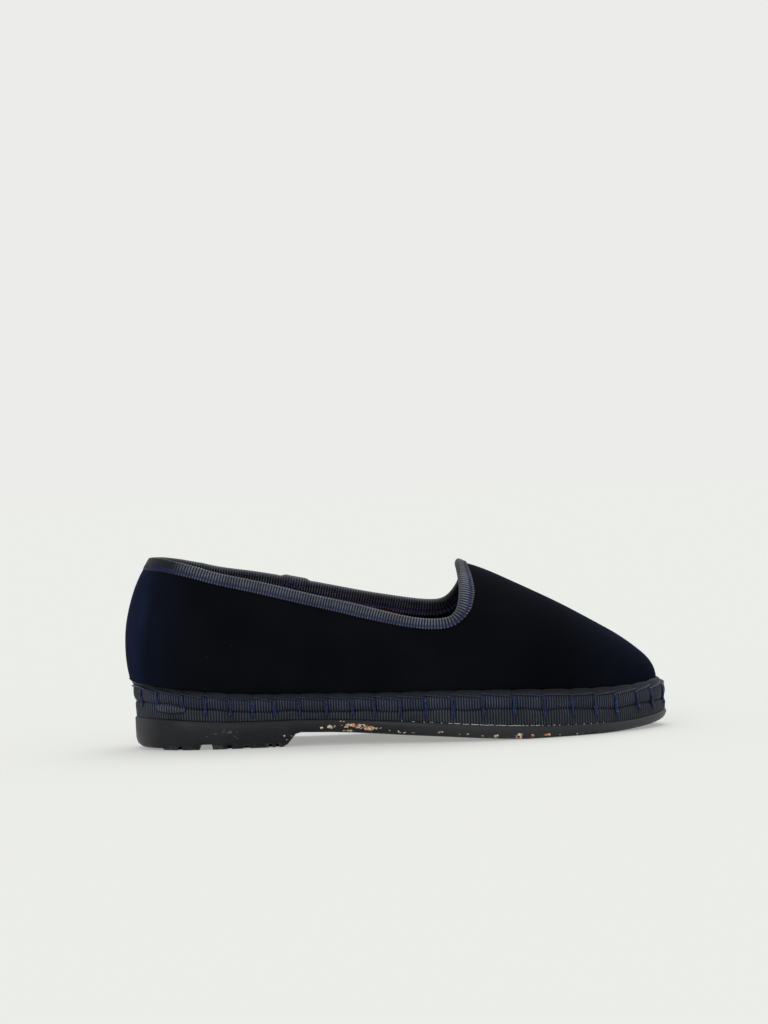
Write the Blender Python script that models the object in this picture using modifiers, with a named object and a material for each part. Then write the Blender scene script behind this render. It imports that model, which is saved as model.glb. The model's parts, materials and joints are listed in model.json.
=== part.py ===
"""Right-foot velvet slipper with a ribbon-bound collar, a ribbon-wrapped welt and a heeled rubber sole.

The toe points along +X, the outer side of the foot is -Y, and the sole stands on z = 0.
Sizes are in millimetres from the back of the sole, and the meshes are in metres.
"""

import math

import bpy
import bmesh
import numpy as np

MM = 0.001

# Driving dimensions
WALL = 2.0  # velvet and lining together
FIT_GAP = 0.3  # clearance between pieces that meet
INSOLE_THICK = 2.5
UPRIGHT = 0.8  # the wall's lower edge stands straight up for this much
BINDING_THICK = 0.8
BINDING_FLAP = 5.0  # how far the ribbon reaches down each face of the wall
SIDE_SETBACK = 0.9  # ribbon-covered sides, behind the rubber's edge
HEEL_PIVOT = 34.0  # the heel's sections fan round this point

# The origin lies on the floor, under the middle of the shoe
ORIGIN_ALONG = 126.0
ORIGIN_ACROSS = 0.0

# Resolution
ROWS_PER_SIDE = 34
ROW_LEVELS = 13
OUTLINE_SAMPLES = 960

# Edge of the rubber sole, seen from above; the outer side comes first
SOLE_EDGE = (
    # place, along, across
    ("heel back", 0.0, 1.5),
    ("heel corner, outer", 8.5, -18.0),
    ("heel side, outer", 34.0, -29.0),
    ("waist, outer", 92.0, -31.5),
    ("ball, outer", 163.0, -44.8),
    ("little toe", 210.0, -36.5),
    ("toe corner, outer", 242.0, -16.5),
    ("toe tip", 255.6, 7.0),
    ("toe corner, inner", 244.5, 29.0),
    ("great toe", 215.0, 41.0),
    ("ball, inner", 181.0, 44.8),
    ("waist, inner", 108.0, 28.5),
    ("heel side, inner", 40.0, 31.5),
    ("heel corner, inner", 9.0, 21.0),
)

# Heights of the stacked layers along the shoe
LAYER_TOPS = (
    # along, rubber, midsole, welt
    (-4.0, 15.2, 22.4, 33.4),
    (14.0, 14.9, 22.0, 29.6),
    (34.0, 13.5, 19.0, 27.0),
    (60.0, 12.7, 17.1, 24.9),
    (80.0, 12.6, 16.4, 24.4),
    (115.0, 11.1, 15.4, 23.6),
    (140.0, 9.5, 15.3, 23.7),
    (166.0, 7.4, 14.8, 23.4),
    (197.0, 5.7, 13.4, 22.2),
    (223.0, 5.0, 11.8, 21.2),
    (242.0, 5.6, 12.1, 21.7),
    (256.0, 7.8, 13.6, 23.6),
)

# Underside of the rubber from heel to toe, without the heel's grooves
SOLE_BOTTOM = (
    # along, height
    (0.0, 3.6),
    (1.6, 1.9),
    (4.6, 1.1),
    (13.6, 0.9),
    (14.4, 0.2),
    (26.0, 0.0),
    (70.4, 0.0),
    (72.6, 1.1),
    (74.4, 3.2),
    (76.6, 5.8),
    (79.0, 6.5),
    (98.0, 5.9),
    (112.0, 5.0),
    (125.0, 4.0),
    (137.0, 3.2),
    (149.0, 2.4),
    (163.0, 1.3),
    (172.0, 0.7),
    (182.0, 0.0),
    (222.0, 0.0),
    (230.0, 0.3),
    (238.0, 0.9),
    (246.0, 1.8),
    (252.0, 3.1),
    (255.6, 4.9),
)

HEEL_GROOVES = (
    # place, along, width, depth, slope of each side
    ("back groove", 22.0, 1.9, 1.8, 0.15),
    ("through notch", 34.4, 5.4, 2.4, 0.5),
    ("middle groove", 45.4, 2.0, 1.8, 0.15),
    ("round groove", 53.4, 2.4, 1.4, 0.5),
    ("front groove", 64.6, 1.5, 1.6, 0.15),
    ("breast groove", 67.8, 1.5, 1.6, 0.15),
)

# How far the foot of the upper stands inside the rubber's edge, along the shoe
FOOT_INSET = (
    # along, inset
    (0.0, -1.8),
    (14.0, -0.5),
    (34.0, 1.2),
    (64.0, 2.8),
    (120.0, 3.2),
    (220.0, 3.4),
    (246.0, 3.9),
    (256.0, 4.5),
)

# Sections of the last. Stations below 0 are degrees round the heel, and those above are
# millimetres ahead of the heel's pivot
SECTIONS = (
    # place, station, centre line, side fullness, crown fullness, outer swell, inner swell
    ("centre back", -90.0, 1.5, 1.95, 2.45, 2.4, 2.4),
    ("heel quarter", -45.0, 1.5, 2.2, 2.2, 2.9, 2.9),
    ("heel side", 0.0, 1.5, 2.4, 2.2, 3.0, 3.0),
    ("waist", 50.0, 0.5, 2.6, 2.25, 3.4, 5.0),
    ("instep", 90.0, 1.5, 2.4, 2.15, 2.6, 4.4),
    ("throat", 123.0, 2.5, 2.15, 1.95, 1.4, 2.2),
    ("vamp", 150.0, 3.5, 2.05, 1.9, 0.9, 0.9),
    ("toe box", 190.0, 5.0, 2.1, 1.95, 0.4, 0.3),
    ("toe tip", 217.8, 7.0, 2.1, 2.0, 0.0, 0.0),
)

# The ridge of the last: rise over the foot line, by distance back from the tip of the upper.
# Behind the throat this is where the top of a closed last would be
RIDGE = (
    # back, rise
    (0.0, 0.0),
    (1.1, 5.2),
    (4.3, 10.6),
    (8.6, 15.1),
    (17.9, 22.8),
    (30.7, 30.7),
    (45.0, 38.5),
    (59.3, 45.3),
    (73.5, 51.7),
    (87.7, 57.5),
    (95.0, 59.6),
    (103.0, 62.0),
    (120.0, 67.5),
    (160.0, 75.5),
    (218.0, 77.7),
)

# Edge of the wall along each side of the collar, by the stations of the last
COLLAR_OUTER = (
    # place, station, height
    ("centre back", -90.0, 90.0),
    ("heel", -50.0, 89.4),
    ("heel side", -10.0, 85.5),
    ("heel front", 8.0, 81.7),
    ("quarter", 24.0, 77.7),
    ("ankle", 47.5, 71.2),
    ("waist", 70.5, 65.2),
    ("instep", 93.6, 58.7),
    ("low point", 109.0, 56.3),
    ("throat corner", 118.5, 58.0),
    ("throat", 122.8, 65.4),
)
COLLAR_INNER = (
    # place, station, height
    ("heel", -50.0, 89.3),
    ("heel side", -4.0, 85.8),
    ("quarter", 23.0, 80.8),
    ("ankle", 45.4, 76.2),
    ("waist", 71.5, 70.2),
    ("instep", 96.0, 65.1),
    ("low point", 108.5, 63.2),
    ("throat corner", 117.6, 64.0),
    ("throat", 123.6, 70.0),
)

# Edge of the wall across the front of the collar
COLLAR_FRONT = (
    # place, station, across
    ("outer corner", 123.8, -20.5),
    ("outer front", 123.5, -9.0),
    ("middle", 123.6, 2.6),
    ("inner front", 124.6, 13.5),
    ("inner corner", 125.4, 22.0),
)

# Each row of the upper runs from its foot to the collar. Shares are of the way from back to front
ROW_ENDS = (
    # place, foot share, collar share
    ("centre back", 0.0, 0.0),
    ("heel side", 0.145, 0.165),
    ("waist", 0.335, 0.44),
    ("low point", 0.535, 0.715),
    ("throat corner", 0.66, 0.785),
    ("tongue", 0.80, 0.875),
    ("toe corner", 0.90, 0.94),
    ("centre front", 1.0, 1.0),
)


def spline(knots, values, closed=False):
    """Cubic spline through the values. A closed one comes back to its start, and its last knot is that start."""
    knots = np.asarray(knots, float)
    values = np.asarray(values, float)
    if values.ndim == 1:
        values = values[:, None]
    count = len(knots)
    gaps = np.diff(knots)
    rises = np.diff(values, axis=0) / gaps[:, None]
    bends = np.zeros_like(values)
    if closed:
        size = count - 1
        matrix = np.zeros((size, size))
        right = np.zeros((size, values.shape[1]))
        for i in range(size):
            before, after = gaps[i - 1], gaps[i]
            matrix[i, i - 1] += before
            matrix[i, i] += 2 * (before + after)
            matrix[i, (i + 1) % size] += after
            right[i] = 6 * (rises[i] - rises[i - 1])
        bends[:size] = np.linalg.solve(matrix, right)
        bends[size] = bends[0]
    else:
        matrix = np.eye(count)
        right = np.zeros_like(values)
        for i in range(1, count - 1):
            matrix[i, i - 1 : i + 2] = gaps[i - 1], 2 * (gaps[i - 1] + gaps[i]), gaps[i]
            right[i] = 6 * (rises[i] - rises[i - 1])
        bends = np.linalg.solve(matrix, right)

    def at(where):
        where = np.atleast_1d(np.asarray(where, float))
        span = np.clip(np.searchsorted(knots, where, side="right") - 1, 0, count - 2)
        gap = gaps[span][:, None]
        low = ((knots[span + 1] - where)[:, None]) / gap
        high = 1 - low
        curve = low * values[span] + high * values[span + 1]
        return curve + ((low**3 - low) * bends[span] + (high**3 - high) * bends[span + 1]) * gap**2 / 6

    return at


def chord_knots(points):
    """Running length of the straight lines through the points."""
    return np.concatenate([[0.0], np.cumsum(np.linalg.norm(np.diff(points, axis=0), axis=1))])


def column(table, place, value):
    """A spline through one column of a table, by another."""
    rows = [[row[place], row[value]] for row in table]
    knots, values = zip(*rows)
    curve = spline(knots, values)
    low, high = knots[0], knots[-1]
    return lambda where: float(curve(min(max(where, low), high))[0, 0])


def straight(table, place=0, value=1):
    """Straight lines through one column of a table, by another."""
    knots = [row[place] for row in table]
    values = [row[value] for row in table]
    return lambda where: float(np.interp(where, knots, values))


class Outline:
    """A closed outline seen from above, with an outer (-Y) and an inner (+Y) half."""

    def __init__(self, points):
        back = int(np.argmin(points[:, 0]))
        self.points = np.roll(points, -back, axis=0)
        front = int(np.argmax(self.points[:, 0]))
        self.outer = self.points[: front + 1]
        self.inner = np.vstack([self.points[front:], self.points[:1]])[::-1]
        self.low = float(self.points[0, 0])
        self.high = float(self.points[front, 0])

    @classmethod
    def through(cls, table):
        points = np.array([row[1:3] for row in table])
        loop = np.vstack([points, points[:1]])
        knots = chord_knots(loop)
        return cls(spline(knots, loop, closed=True)(np.linspace(0, knots[-1], OUTLINE_SAMPLES, endpoint=False)))

    def inset(self, distance):
        """The outline moved inwards by distance(along) millimetres."""
        ahead = np.roll(self.points, -1, axis=0) - np.roll(self.points, 1, axis=0)
        inward = np.column_stack([-ahead[:, 1], ahead[:, 0]])
        inward /= np.linalg.norm(inward, axis=1)[:, None]
        moves = np.array([distance(along) for along in self.points[:, 0]])
        return Outline(self.points + inward * moves[:, None])

    def half(self, side):
        return self.outer if side < 0 else self.inner

    def across(self, along, side):
        half = self.half(side)
        return float(np.interp(along, half[:, 0], half[:, 1]))

    def by_share(self, side, shares):
        """Points on one half, at these shares of its length from the back."""
        half = self.half(side)
        run = chord_knots(half)
        places = np.asarray(shares) * run[-1]
        return np.column_stack([np.interp(places, run, half[:, i]) for i in range(2)])


SOLE = Outline.through(SOLE_EDGE)
foot_inset = column(FOOT_INSET, 0, 1)
rubber_top = column(LAYER_TOPS, 0, 1)
midsole_top = column(LAYER_TOPS, 0, 2)
welt_top = column(LAYER_TOPS, 0, 3)
FOOT = SOLE.inset(foot_inset)


def foot_height(along):
    """Height of the wall's lower edge."""
    return welt_top(along) + FIT_GAP


class Last:
    """The outer face of the upper, as a closed form that the collar is cut from."""

    SWELL_TOP = 1.0  # share of the ridge's height where the swell of the wall ends

    def __init__(self):
        self.centre = column(SECTIONS, 1, 2)
        self.side = column(SECTIONS, 1, 3)
        self.crown = column(SECTIONS, 1, 4)
        self.swells = {-1: column(SECTIONS, 1, 5), 1: column(SECTIONS, 1, 6)}
        self.ridge = spline([math.sqrt(back) for back, _ in RIDGE], [rise for _, rise in RIDGE])
        self.pivot = np.array([HEEL_PIVOT, self.centre(0.0)])
        self.reach = {side: self._heel_reach(side) for side in (-1, 1)}

    def _heel_reach(self, side):
        """Distance from the pivot to the foot line, by degrees round the heel."""
        half = FOOT.half(side)
        rays = half[half[:, 0] < HEEL_PIVOT + 12.0] - self.pivot
        degrees = np.degrees(np.arctan2(-rays[:, 0], np.abs(rays[:, 1])))
        order = np.argsort(degrees)
        return degrees[order], np.linalg.norm(rays, axis=1)[order]

    def frame(self, station, side):
        """Where a half section starts, the way it faces, its width, foot height, rise and shape."""
        if station < 0:
            turn = math.radians(-station)
            start = self.pivot
            way = np.array([-math.sin(turn), side * math.cos(turn)])
            width = float(np.interp(-station, *self.reach[side]))
            foot = foot_height(start[0] + way[0] * width)
            top = foot_height(HEEL_PIVOT) + self.rise(FOOT.high - HEEL_PIVOT)
            rise = top - foot
        else:
            along = min(HEEL_PIVOT + station, FOOT.high - 1e-3)
            start = np.array([along, self.centre(station)])
            way = np.array([0.0, float(side)])
            width = abs(FOOT.across(along, side) - start[1])
            foot = foot_height(along)
            rise = self.rise(FOOT.high - along)
        shape = self.side(station), self.crown(station), self.swells[side](station)
        return start, way, max(width, 1e-3), foot, max(rise, 1e-3), shape

    def rise(self, back):
        return float(self.ridge(math.sqrt(back))[0, 0])

    def swell(self, level, amount):
        share = min(max(level / self.SWELL_TOP, 0.0), 1.0)
        return amount * 6.75 * share * (1 - share) ** 2

    def point(self, station, side, turn):
        """A point at an angle up the section: 0 at the foot, a right angle at the ridge."""
        start, way, width, foot, rise, (fullness, crown, amount) = self.frame(station, side)
        level = math.sin(turn) ** (2 / crown)
        out = width * max(math.cos(turn), 0.0) ** (2 / fullness) + self.swell(level, amount)
        flat = start + way * out
        return np.array([flat[0], flat[1], foot + rise * level])

    def at_height(self, station, side, height):
        """The point of one half section at a height."""
        _, _, _, foot, rise, (_, crown, _) = self.frame(station, side)
        return self.point(station, side, math.asin(((height - foot) / rise) ** (crown / 2)))

    def at_across(self, station, across):
        """The point of a section at a distance across the shoe, high up on the last."""
        centre = self.centre(station)
        side = -1 if across < centre else 1
        _, _, width, _, _, (fullness, crown, amount) = self.frame(station, side)
        level = 1.0
        for _ in range(20):
            out = max(abs(across - centre) - self.swell(level, amount), 0.0) / width
            turn = math.acos(min(out, 1.0) ** (fullness / 2))
            level = math.sin(turn) ** (2 / crown)
        return self.point(station, side, turn)

    def onto(self, place):
        """The point of the face that a place near it belongs to."""
        place = np.asarray(place, float)
        if place[0] < HEEL_PIVOT:
            ray = place[:2] - self.pivot
            station = -math.degrees(math.atan2(-ray[0], abs(ray[1])))
            side = -1 if ray[1] < 0 else 1
        else:
            station = place[0] - HEEL_PIVOT
            side = -1 if place[1] < self.centre(station) else 1
        start, way, width, foot, rise, (fullness, crown, amount) = self.frame(station, side)
        level = max((place[2] - foot) / rise, 0.0)
        out = float((place[:2] - start) @ way) - self.swell(level, amount)
        turn = math.atan2(level ** (crown / 2), max(out / width, 0.0) ** (fullness / 2))
        return self.point(station, side, turn)

    def normal(self, place, along, step=0.6):
        """Outward normal of the face near a place, from its slope along and across the given way."""
        along = along / np.linalg.norm(along)
        guess = self.outward_guess(place)
        down = np.cross(along, guess)
        down /= np.linalg.norm(down)
        first = self.onto(place + along * step) - self.onto(place - along * step)
        second = self.onto(place + down * step) - self.onto(place - down * step)
        normal = np.cross(first, second)
        normal /= np.linalg.norm(normal)
        return normal if normal @ guess > 0 else -normal

    def outward_guess(self, place):
        """A rough outward way: from the inside of the last to the place."""
        inside = np.array([max(place[0], HEEL_PIVOT), 0.0, 0.0])
        inside[0] = min(inside[0], FOOT.high - 25.0)
        inside[1] = self.centre(inside[0] - HEEL_PIVOT)
        inside[2] = foot_height(inside[0])
        way = place - inside
        return way / np.linalg.norm(way)


LAST = Last()


def collar_halves(count=720):
    """Fine points of the collar's edge on the last, as two halves from the back to the middle of the front."""
    outer = [LAST.at_height(station, -1, height) for _, station, height in COLLAR_OUTER]
    inner = [LAST.at_height(station, 1, height) for _, station, height in COLLAR_INNER]
    front = [LAST.at_across(station, across) for _, station, across in COLLAR_FRONT]
    loop = np.array([*outer, *front, *inner[::-1], outer[0]])
    knots = chord_knots(loop)
    fine = spline(knots, loop, closed=True)(np.linspace(0, knots[-1], count, endpoint=False))
    fine = np.array([LAST.onto(place) for place in fine])
    middle = front[[row[0] for row in COLLAR_FRONT].index("middle")]
    tip = int(np.argmin(np.linalg.norm(fine - middle, axis=1)))
    return {-1: fine[: tip + 1], 1: np.vstack([fine[tip:], fine[:1]])[::-1]}


def by_share(curve, shares):
    """Points of a fine curve at these shares of its length."""
    run = chord_knots(curve)
    places = np.asarray(shares) * run[-1]
    return np.column_stack([np.interp(places, run, curve[:, i]) for i in range(curve.shape[1])])


def round_the_shoe(halves):
    """One closed run of rows: forward along the outer side, and back along the inner side."""
    return np.vstack([halves[-1], halves[1][::-1][1:-1]])


def row_shares():
    """The shares of foot and collar where each row of one side ends."""
    rows = np.linspace(0, 1, ROWS_PER_SIDE + 1)
    feet = [row[1] for row in ROW_ENDS]
    tops = [row[2] for row in ROW_ENDS]
    return rows, spline(feet, tops)(rows)[:, 0]


def upper_rows():
    """The face of the upper as rows of points, from the foot line up to the collar."""
    foot_shares, collar_shares = row_shares()
    collar = collar_halves()
    feet = {}
    tops = {}
    for side in (-1, 1):
        flat = FOOT.by_share(side, foot_shares)
        heights = np.array([foot_height(along) for along in flat[:, 0]])
        feet[side] = np.column_stack([flat, heights])
        tops[side] = by_share(collar[side], collar_shares)
    feet = round_the_shoe(feet)
    tops = round_the_shoe(tops)
    rows = []
    for foot, top in zip(feet, tops):
        length = np.linalg.norm(top - foot)
        band = 1 - 1.25 * BINDING_FLAP / length
        crowd = float(np.interp(length, (70.0, 130.0), (1.3, 1.8)))
        levels = [*np.linspace(0, 1, ROW_LEVELS - 1) ** crowd * band, (1 + band) / 2]
        row = [LAST.onto(foot + (top - foot) * level) for level in levels[1:]]
        rows.append([foot, foot + [0, 0, UPRIGHT], *row, top])
    return np.array(rows)


def to_row_frame(point):
    return (
        (point[0] - ORIGIN_ALONG) * MM,
        (point[1] - ORIGIN_ACROSS) * MM,
        point[2] * MM,
    )


def material(name, colour, roughness, metallic=0.0):
    made = bpy.data.materials.new(name)
    made.use_nodes = True
    shader = made.node_tree.nodes["Principled BSDF"]
    shader.inputs["Base Color"].default_value = (*colour, 1.0)
    shader.inputs["Roughness"].default_value = roughness
    shader.inputs["Metallic"].default_value = metallic
    return made


def add_object(name, bm, finish, collection):
    bmesh.ops.recalc_face_normals(bm, faces=bm.faces)
    mesh = bpy.data.meshes.new(name)
    bm.to_mesh(mesh)
    bm.free()
    mesh.materials.append(finish)
    mesh.shade_smooth()
    mesh.set_sharp_from_angle(angle=math.radians(40))
    made = bpy.data.objects.new(name, mesh)
    collection.objects.link(made)
    return made


def ladder(bm, outer, inner):
    """Faces across an outline, between its outer and its inner half."""
    for i in range(len(outer) - 1):
        corners = [outer[i], outer[i + 1], inner[i + 1], inner[i]]
        unlike = list(dict.fromkeys(corners))
        if len(unlike) > 2:
            bm.faces.new(unlike)


def skin(bm, first, second):
    """Faces between two closed loops of the same length."""
    count = len(first)
    for i in range(count):
        j = (i + 1) % count
        bm.faces.new([first[i], first[j], second[j], second[i]])


def slab(name, stations, levels, finish, collection, end_zone=30.0):
    """A closed layer. Each level is an outline and a height for each place along it, from the bottom to the top.

    The stations are those of the first outline. Near the two ends the others follow it in proportion."""
    bm = bmesh.new()
    base = levels[0][0]
    rings = []
    for outline, height in levels:
        halves = {}
        for side in (-1, 1):
            half = []
            for station in stations:
                along = station
                if station < base.low + end_zone:
                    share = (station - base.low) / end_zone
                    along = outline.low + share * (base.low + end_zone - outline.low)
                elif station > base.high - end_zone:
                    share = (base.high - station) / end_zone
                    along = outline.high - share * (outline.high - base.high + end_zone)
                place = (along, outline.across(along, side), height(along))
                half.append(place)
            halves[side] = half
        ends = [bm.verts.new(to_row_frame(halves[-1][i])) for i in (0, -1)]
        sides = {
            side: [ends[0], *[bm.verts.new(to_row_frame(p)) for p in halves[side][1:-1]], ends[1]]
            for side in (-1, 1)
        }
        rings.append((sides[-1], sides[1], sides[-1] + sides[1][1:-1][::-1]))
    for lower, upper in zip(rings, rings[1:]):
        skin(bm, lower[2], upper[2])
    ladder(bm, rings[0][0], rings[0][1])
    ladder(bm, rings[-1][0], rings[-1][1])
    return add_object(name, bm, finish, collection)


def even_stations(outline, count):
    """Places along an outline, closer together at its round ends."""
    turns = np.linspace(0, math.pi, count + 1)
    return outline.low + (outline.high - outline.low) * (1 - np.cos(turns)) / 2


def grooved_bottom():
    """The underside as a run of straight lines, with the heel's grooves cut in."""
    smooth = straight(SOLE_BOTTOM)
    places = dict(SOLE_BOTTOM)
    for _, along, width, depth, slope in HEEL_GROOVES:
        half = width / 2
        places[along - half - slope] = smooth(along - half - slope)
        places[along - half] = depth
        places[along + half] = depth
        places[along + half + slope] = smooth(along + half + slope)
    run = sorted(places.items())
    return run, straight(run)


def make_outsole(finish, collection):
    run, bottom = grooved_bottom()
    tread = SOLE.inset(lambda along: 2.2)
    corner = SOLE.inset(lambda along: 0.7)
    lip = SOLE.inset(lambda along: 0.1)
    rim = SOLE.inset(lambda along: 0.6)
    even = [x for x in even_stations(tread, 34) if x > 84.0 or x < 12.0]
    cut = [x for x, _ in run if 12.0 <= x <= 84.0]
    stations = sorted([*even, *cut])

    def over(share):
        return lambda along: bottom(along) + (rubber_top(along) - bottom(along)) * share

    levels = [
        (tread, bottom),
        (corner, lambda along: bottom(along) + 0.5),
        (lip, lambda along: bottom(along) + 1.7),
        (SOLE, over(0.6)),
        (SOLE, lambda along: rubber_top(along) - 0.6),
        (rim, rubber_top),
    ]
    return slab("outsole", stations, levels, finish, collection)


def side_outline(setback, roll):
    """An outline between the ribbon-covered side (roll 0) and the foot of the upper (roll 1)."""

    def distance(along):
        return (1 - roll) * (SIDE_SETBACK + setback) + roll * (foot_inset(along) - 0.4)

    return SOLE.inset(distance)


def ribbon_layer(name, bottom, top, levels, finish, collection):
    """A layer of the sole whose side is wrapped in ribbon. Levels hold the share of its height, setback and roll."""
    outlines = [(side_outline(setback, roll), share) for share, setback, roll in levels]

    def height(share):
        return lambda along: bottom(along) + (top(along) - bottom(along)) * share

    made = [(outline, height(share)) for outline, share in outlines]
    return slab(name, even_stations(made[0][0], 40), made, finish, collection)


def make_midsole(finish, collection):
    levels = (
        # share of the height, setback, roll
        (0.0, 0.5, 0.0),
        (0.12, 0.1, 0.0),
        (0.5, -0.1, 0.0),
        (0.85, 0.1, 0.05),
        (1.0, 0.7, 0.1),
    )
    return ribbon_layer(
        "midsole",
        lambda along: rubber_top(along) + FIT_GAP,
        lambda along: midsole_top(along) - FIT_GAP / 2,
        levels,
        finish,
        collection,
    )


def make_welt(finish, collection):
    levels = (
        # share of the height, setback, roll
        (0.0, 0.7, 0.1),
        (0.1, 0.1, 0.1),
        (0.4, -0.3, 0.15),
        (0.7, -0.1, 0.25),
        (0.9, 0.0, 0.55),
        (1.0, 0.0, 1.0),
    )
    return ribbon_layer(
        "welt",
        lambda along: midsole_top(along) + FIT_GAP / 2,
        welt_top,
        levels,
        finish,
        collection,
    )


def make_insole(finish, collection):
    edge = SOLE.inset(lambda along: foot_inset(along) + WALL + 0.9)
    soft = SOLE.inset(lambda along: foot_inset(along) + WALL + 2.0)
    levels = [
        (soft, lambda along: welt_top(along) + FIT_GAP),
        (edge, lambda along: welt_top(along) + FIT_GAP + 0.5),
        (edge, lambda along: welt_top(along) + FIT_GAP + INSOLE_THICK - 1.2),
        (soft, lambda along: welt_top(along) + FIT_GAP + INSOLE_THICK),
    ]
    return slab("insole", even_stations(soft, 32), levels, finish, collection)


def make_upper(rows, finish, collection):
    """The wall from the foot line to the collar: an open face that Solidify thickens inwards."""
    bm = bmesh.new()
    grid = [[bm.verts.new(to_row_frame(point)) for point in row] for row in rows]
    for i, row in enumerate(grid):
        ahead = grid[(i + 1) % len(grid)]
        for j in range(len(row) - 1):
            bm.faces.new([row[j], ahead[j], ahead[j + 1], row[j + 1]])
    made = add_object("upper", bm, finish, collection)
    wall = made.modifiers.new("wall", "SOLIDIFY")
    wall.thickness = WALL * MM
    wall.offset = -1.0
    wall.use_rim = True
    return made


def binding_section():
    """Corners of the ribbon round the wall's edge: out from the face, and down from the edge."""
    outer = FIT_GAP + BINDING_THICK
    inner = FIT_GAP
    half = WALL / 2 + outer
    fold = []
    for turn in np.radians([0, 35, 65, 90, 115, 145, 180]):
        fold.append((half * math.cos(turn) - WALL / 2, 1.0 - (1.3 + outer) * math.sin(turn)))
    return [
        (outer, BINDING_FLAP),
        (outer, BINDING_FLAP / 2),
        *fold,
        (-WALL - outer, BINDING_FLAP / 2),
        (-WALL - outer, BINDING_FLAP),
        (-WALL - inner, BINDING_FLAP),
        (-WALL - inner, BINDING_FLAP / 2),
        (-WALL - inner, -inner),
        (inner, -inner),
        (inner, BINDING_FLAP / 2),
        (inner, BINDING_FLAP),
    ]


def make_binding(rows, finish, collection):
    """A ribbon folded over the collar's edge, as one closed ring."""
    edge = rows[:, -1]
    section = binding_section()
    bm = bmesh.new()
    rings = []
    for i, point in enumerate(edge):
        along = edge[(i + 1) % len(edge)] - edge[i - 1]
        along /= np.linalg.norm(along)
        normal = LAST.normal(point, along)
        down = np.cross(normal, along)
        down /= np.linalg.norm(down)
        if down @ (rows[i, -2] - point) < 0:
            down = -down
        ring = []
        for out, reach in section:
            if reach > 0:
                foot = LAST.onto(point + down * reach)
                face = LAST.normal(foot, along)
            else:
                foot = point + down * reach
                face = normal
            ring.append(bm.verts.new(to_row_frame(foot + face * out)))
        rings.append(ring)
    for i, ring in enumerate(rings):
        skin(bm, ring, rings[(i + 1) % len(rings)])
    return add_object("collar_binding", bm, finish, collection)


def main():
    for old in list(bpy.data.objects):
        bpy.data.objects.remove(old)
    shoe = bpy.data.collections.new("velvet_slipper")
    bpy.context.scene.collection.children.link(shoe)
    rubber = material("black_rubber", (0.018, 0.019, 0.021), 0.55)
    ribbon = material("navy_ribbon", (0.020, 0.024, 0.040), 0.7)
    velvet = material("navy_velvet", (0.004, 0.005, 0.009), 0.9)
    lining = material("crimson_lining", (0.22, 0.015, 0.04), 0.85)
    rows = upper_rows()
    make_outsole(rubber, shoe)
    make_midsole(ribbon, shoe)
    make_welt(ribbon, shoe)
    make_insole(lining, shoe)
    make_upper(rows, velvet, shoe)
    make_binding(rows, ribbon, shoe)


main()
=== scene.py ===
"""Velvet, ribbon, thread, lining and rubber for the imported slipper.

The shoe's own shape is worked out in millimetres from the back of the sole, as its solids are.
"""

import json
import math
import random

import bpy
import numpy as np
from mathutils import Matrix, Vector

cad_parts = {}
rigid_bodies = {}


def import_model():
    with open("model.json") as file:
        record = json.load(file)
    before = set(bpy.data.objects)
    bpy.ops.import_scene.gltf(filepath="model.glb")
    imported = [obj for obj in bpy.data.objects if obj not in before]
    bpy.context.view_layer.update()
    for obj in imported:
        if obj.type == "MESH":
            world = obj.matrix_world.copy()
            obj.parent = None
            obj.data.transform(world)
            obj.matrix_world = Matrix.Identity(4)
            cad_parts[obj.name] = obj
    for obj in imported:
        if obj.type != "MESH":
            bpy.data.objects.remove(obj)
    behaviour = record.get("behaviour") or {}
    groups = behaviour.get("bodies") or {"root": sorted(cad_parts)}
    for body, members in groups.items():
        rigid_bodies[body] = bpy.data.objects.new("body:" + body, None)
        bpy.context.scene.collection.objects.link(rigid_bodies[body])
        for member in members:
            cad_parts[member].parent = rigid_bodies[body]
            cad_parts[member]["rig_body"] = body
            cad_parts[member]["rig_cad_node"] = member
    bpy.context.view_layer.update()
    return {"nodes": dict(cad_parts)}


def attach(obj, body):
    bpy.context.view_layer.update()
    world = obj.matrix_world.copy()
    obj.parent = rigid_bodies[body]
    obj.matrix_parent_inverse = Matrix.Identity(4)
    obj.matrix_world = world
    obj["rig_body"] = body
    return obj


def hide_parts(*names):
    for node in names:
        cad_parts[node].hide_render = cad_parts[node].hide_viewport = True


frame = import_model()

# The shoe's own shape, as its solids have it
MM = 0.001  # in metres

# Driving dimensions
WALL = 2.0  # velvet and lining together
FIT_GAP = 0.3  # clearance between pieces that meet
SIDE_SETBACK = 0.9  # ribbon-covered sides, behind the rubber's edge
HEEL_PIVOT = 34.0  # the heel's sections fan round this point

# The origin lies on the floor, under the middle of the shoe
ORIGIN_ALONG = 126.0
ORIGIN_ACROSS = 0.0

# Resolution
OUTLINE_SAMPLES = 960
FINE_COLLAR_SAMPLES = 2400
FINE_ROWS_PER_SIDE = 300
FINE_ROW_LEVELS = 50

# Edge of the rubber sole, seen from above; the outer side comes first
SOLE_EDGE = (
    # place, along, across
    ("heel back", 0.0, 1.5),
    ("heel corner, outer", 8.5, -18.0),
    ("heel side, outer", 34.0, -29.0),
    ("waist, outer", 92.0, -31.5),
    ("ball, outer", 163.0, -44.8),
    ("little toe", 210.0, -36.5),
    ("toe corner, outer", 242.0, -16.5),
    ("toe tip", 255.6, 7.0),
    ("toe corner, inner", 244.5, 29.0),
    ("great toe", 215.0, 41.0),
    ("ball, inner", 181.0, 44.8),
    ("waist, inner", 108.0, 28.5),
    ("heel side, inner", 40.0, 31.5),
    ("heel corner, inner", 9.0, 21.0),
)

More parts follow.
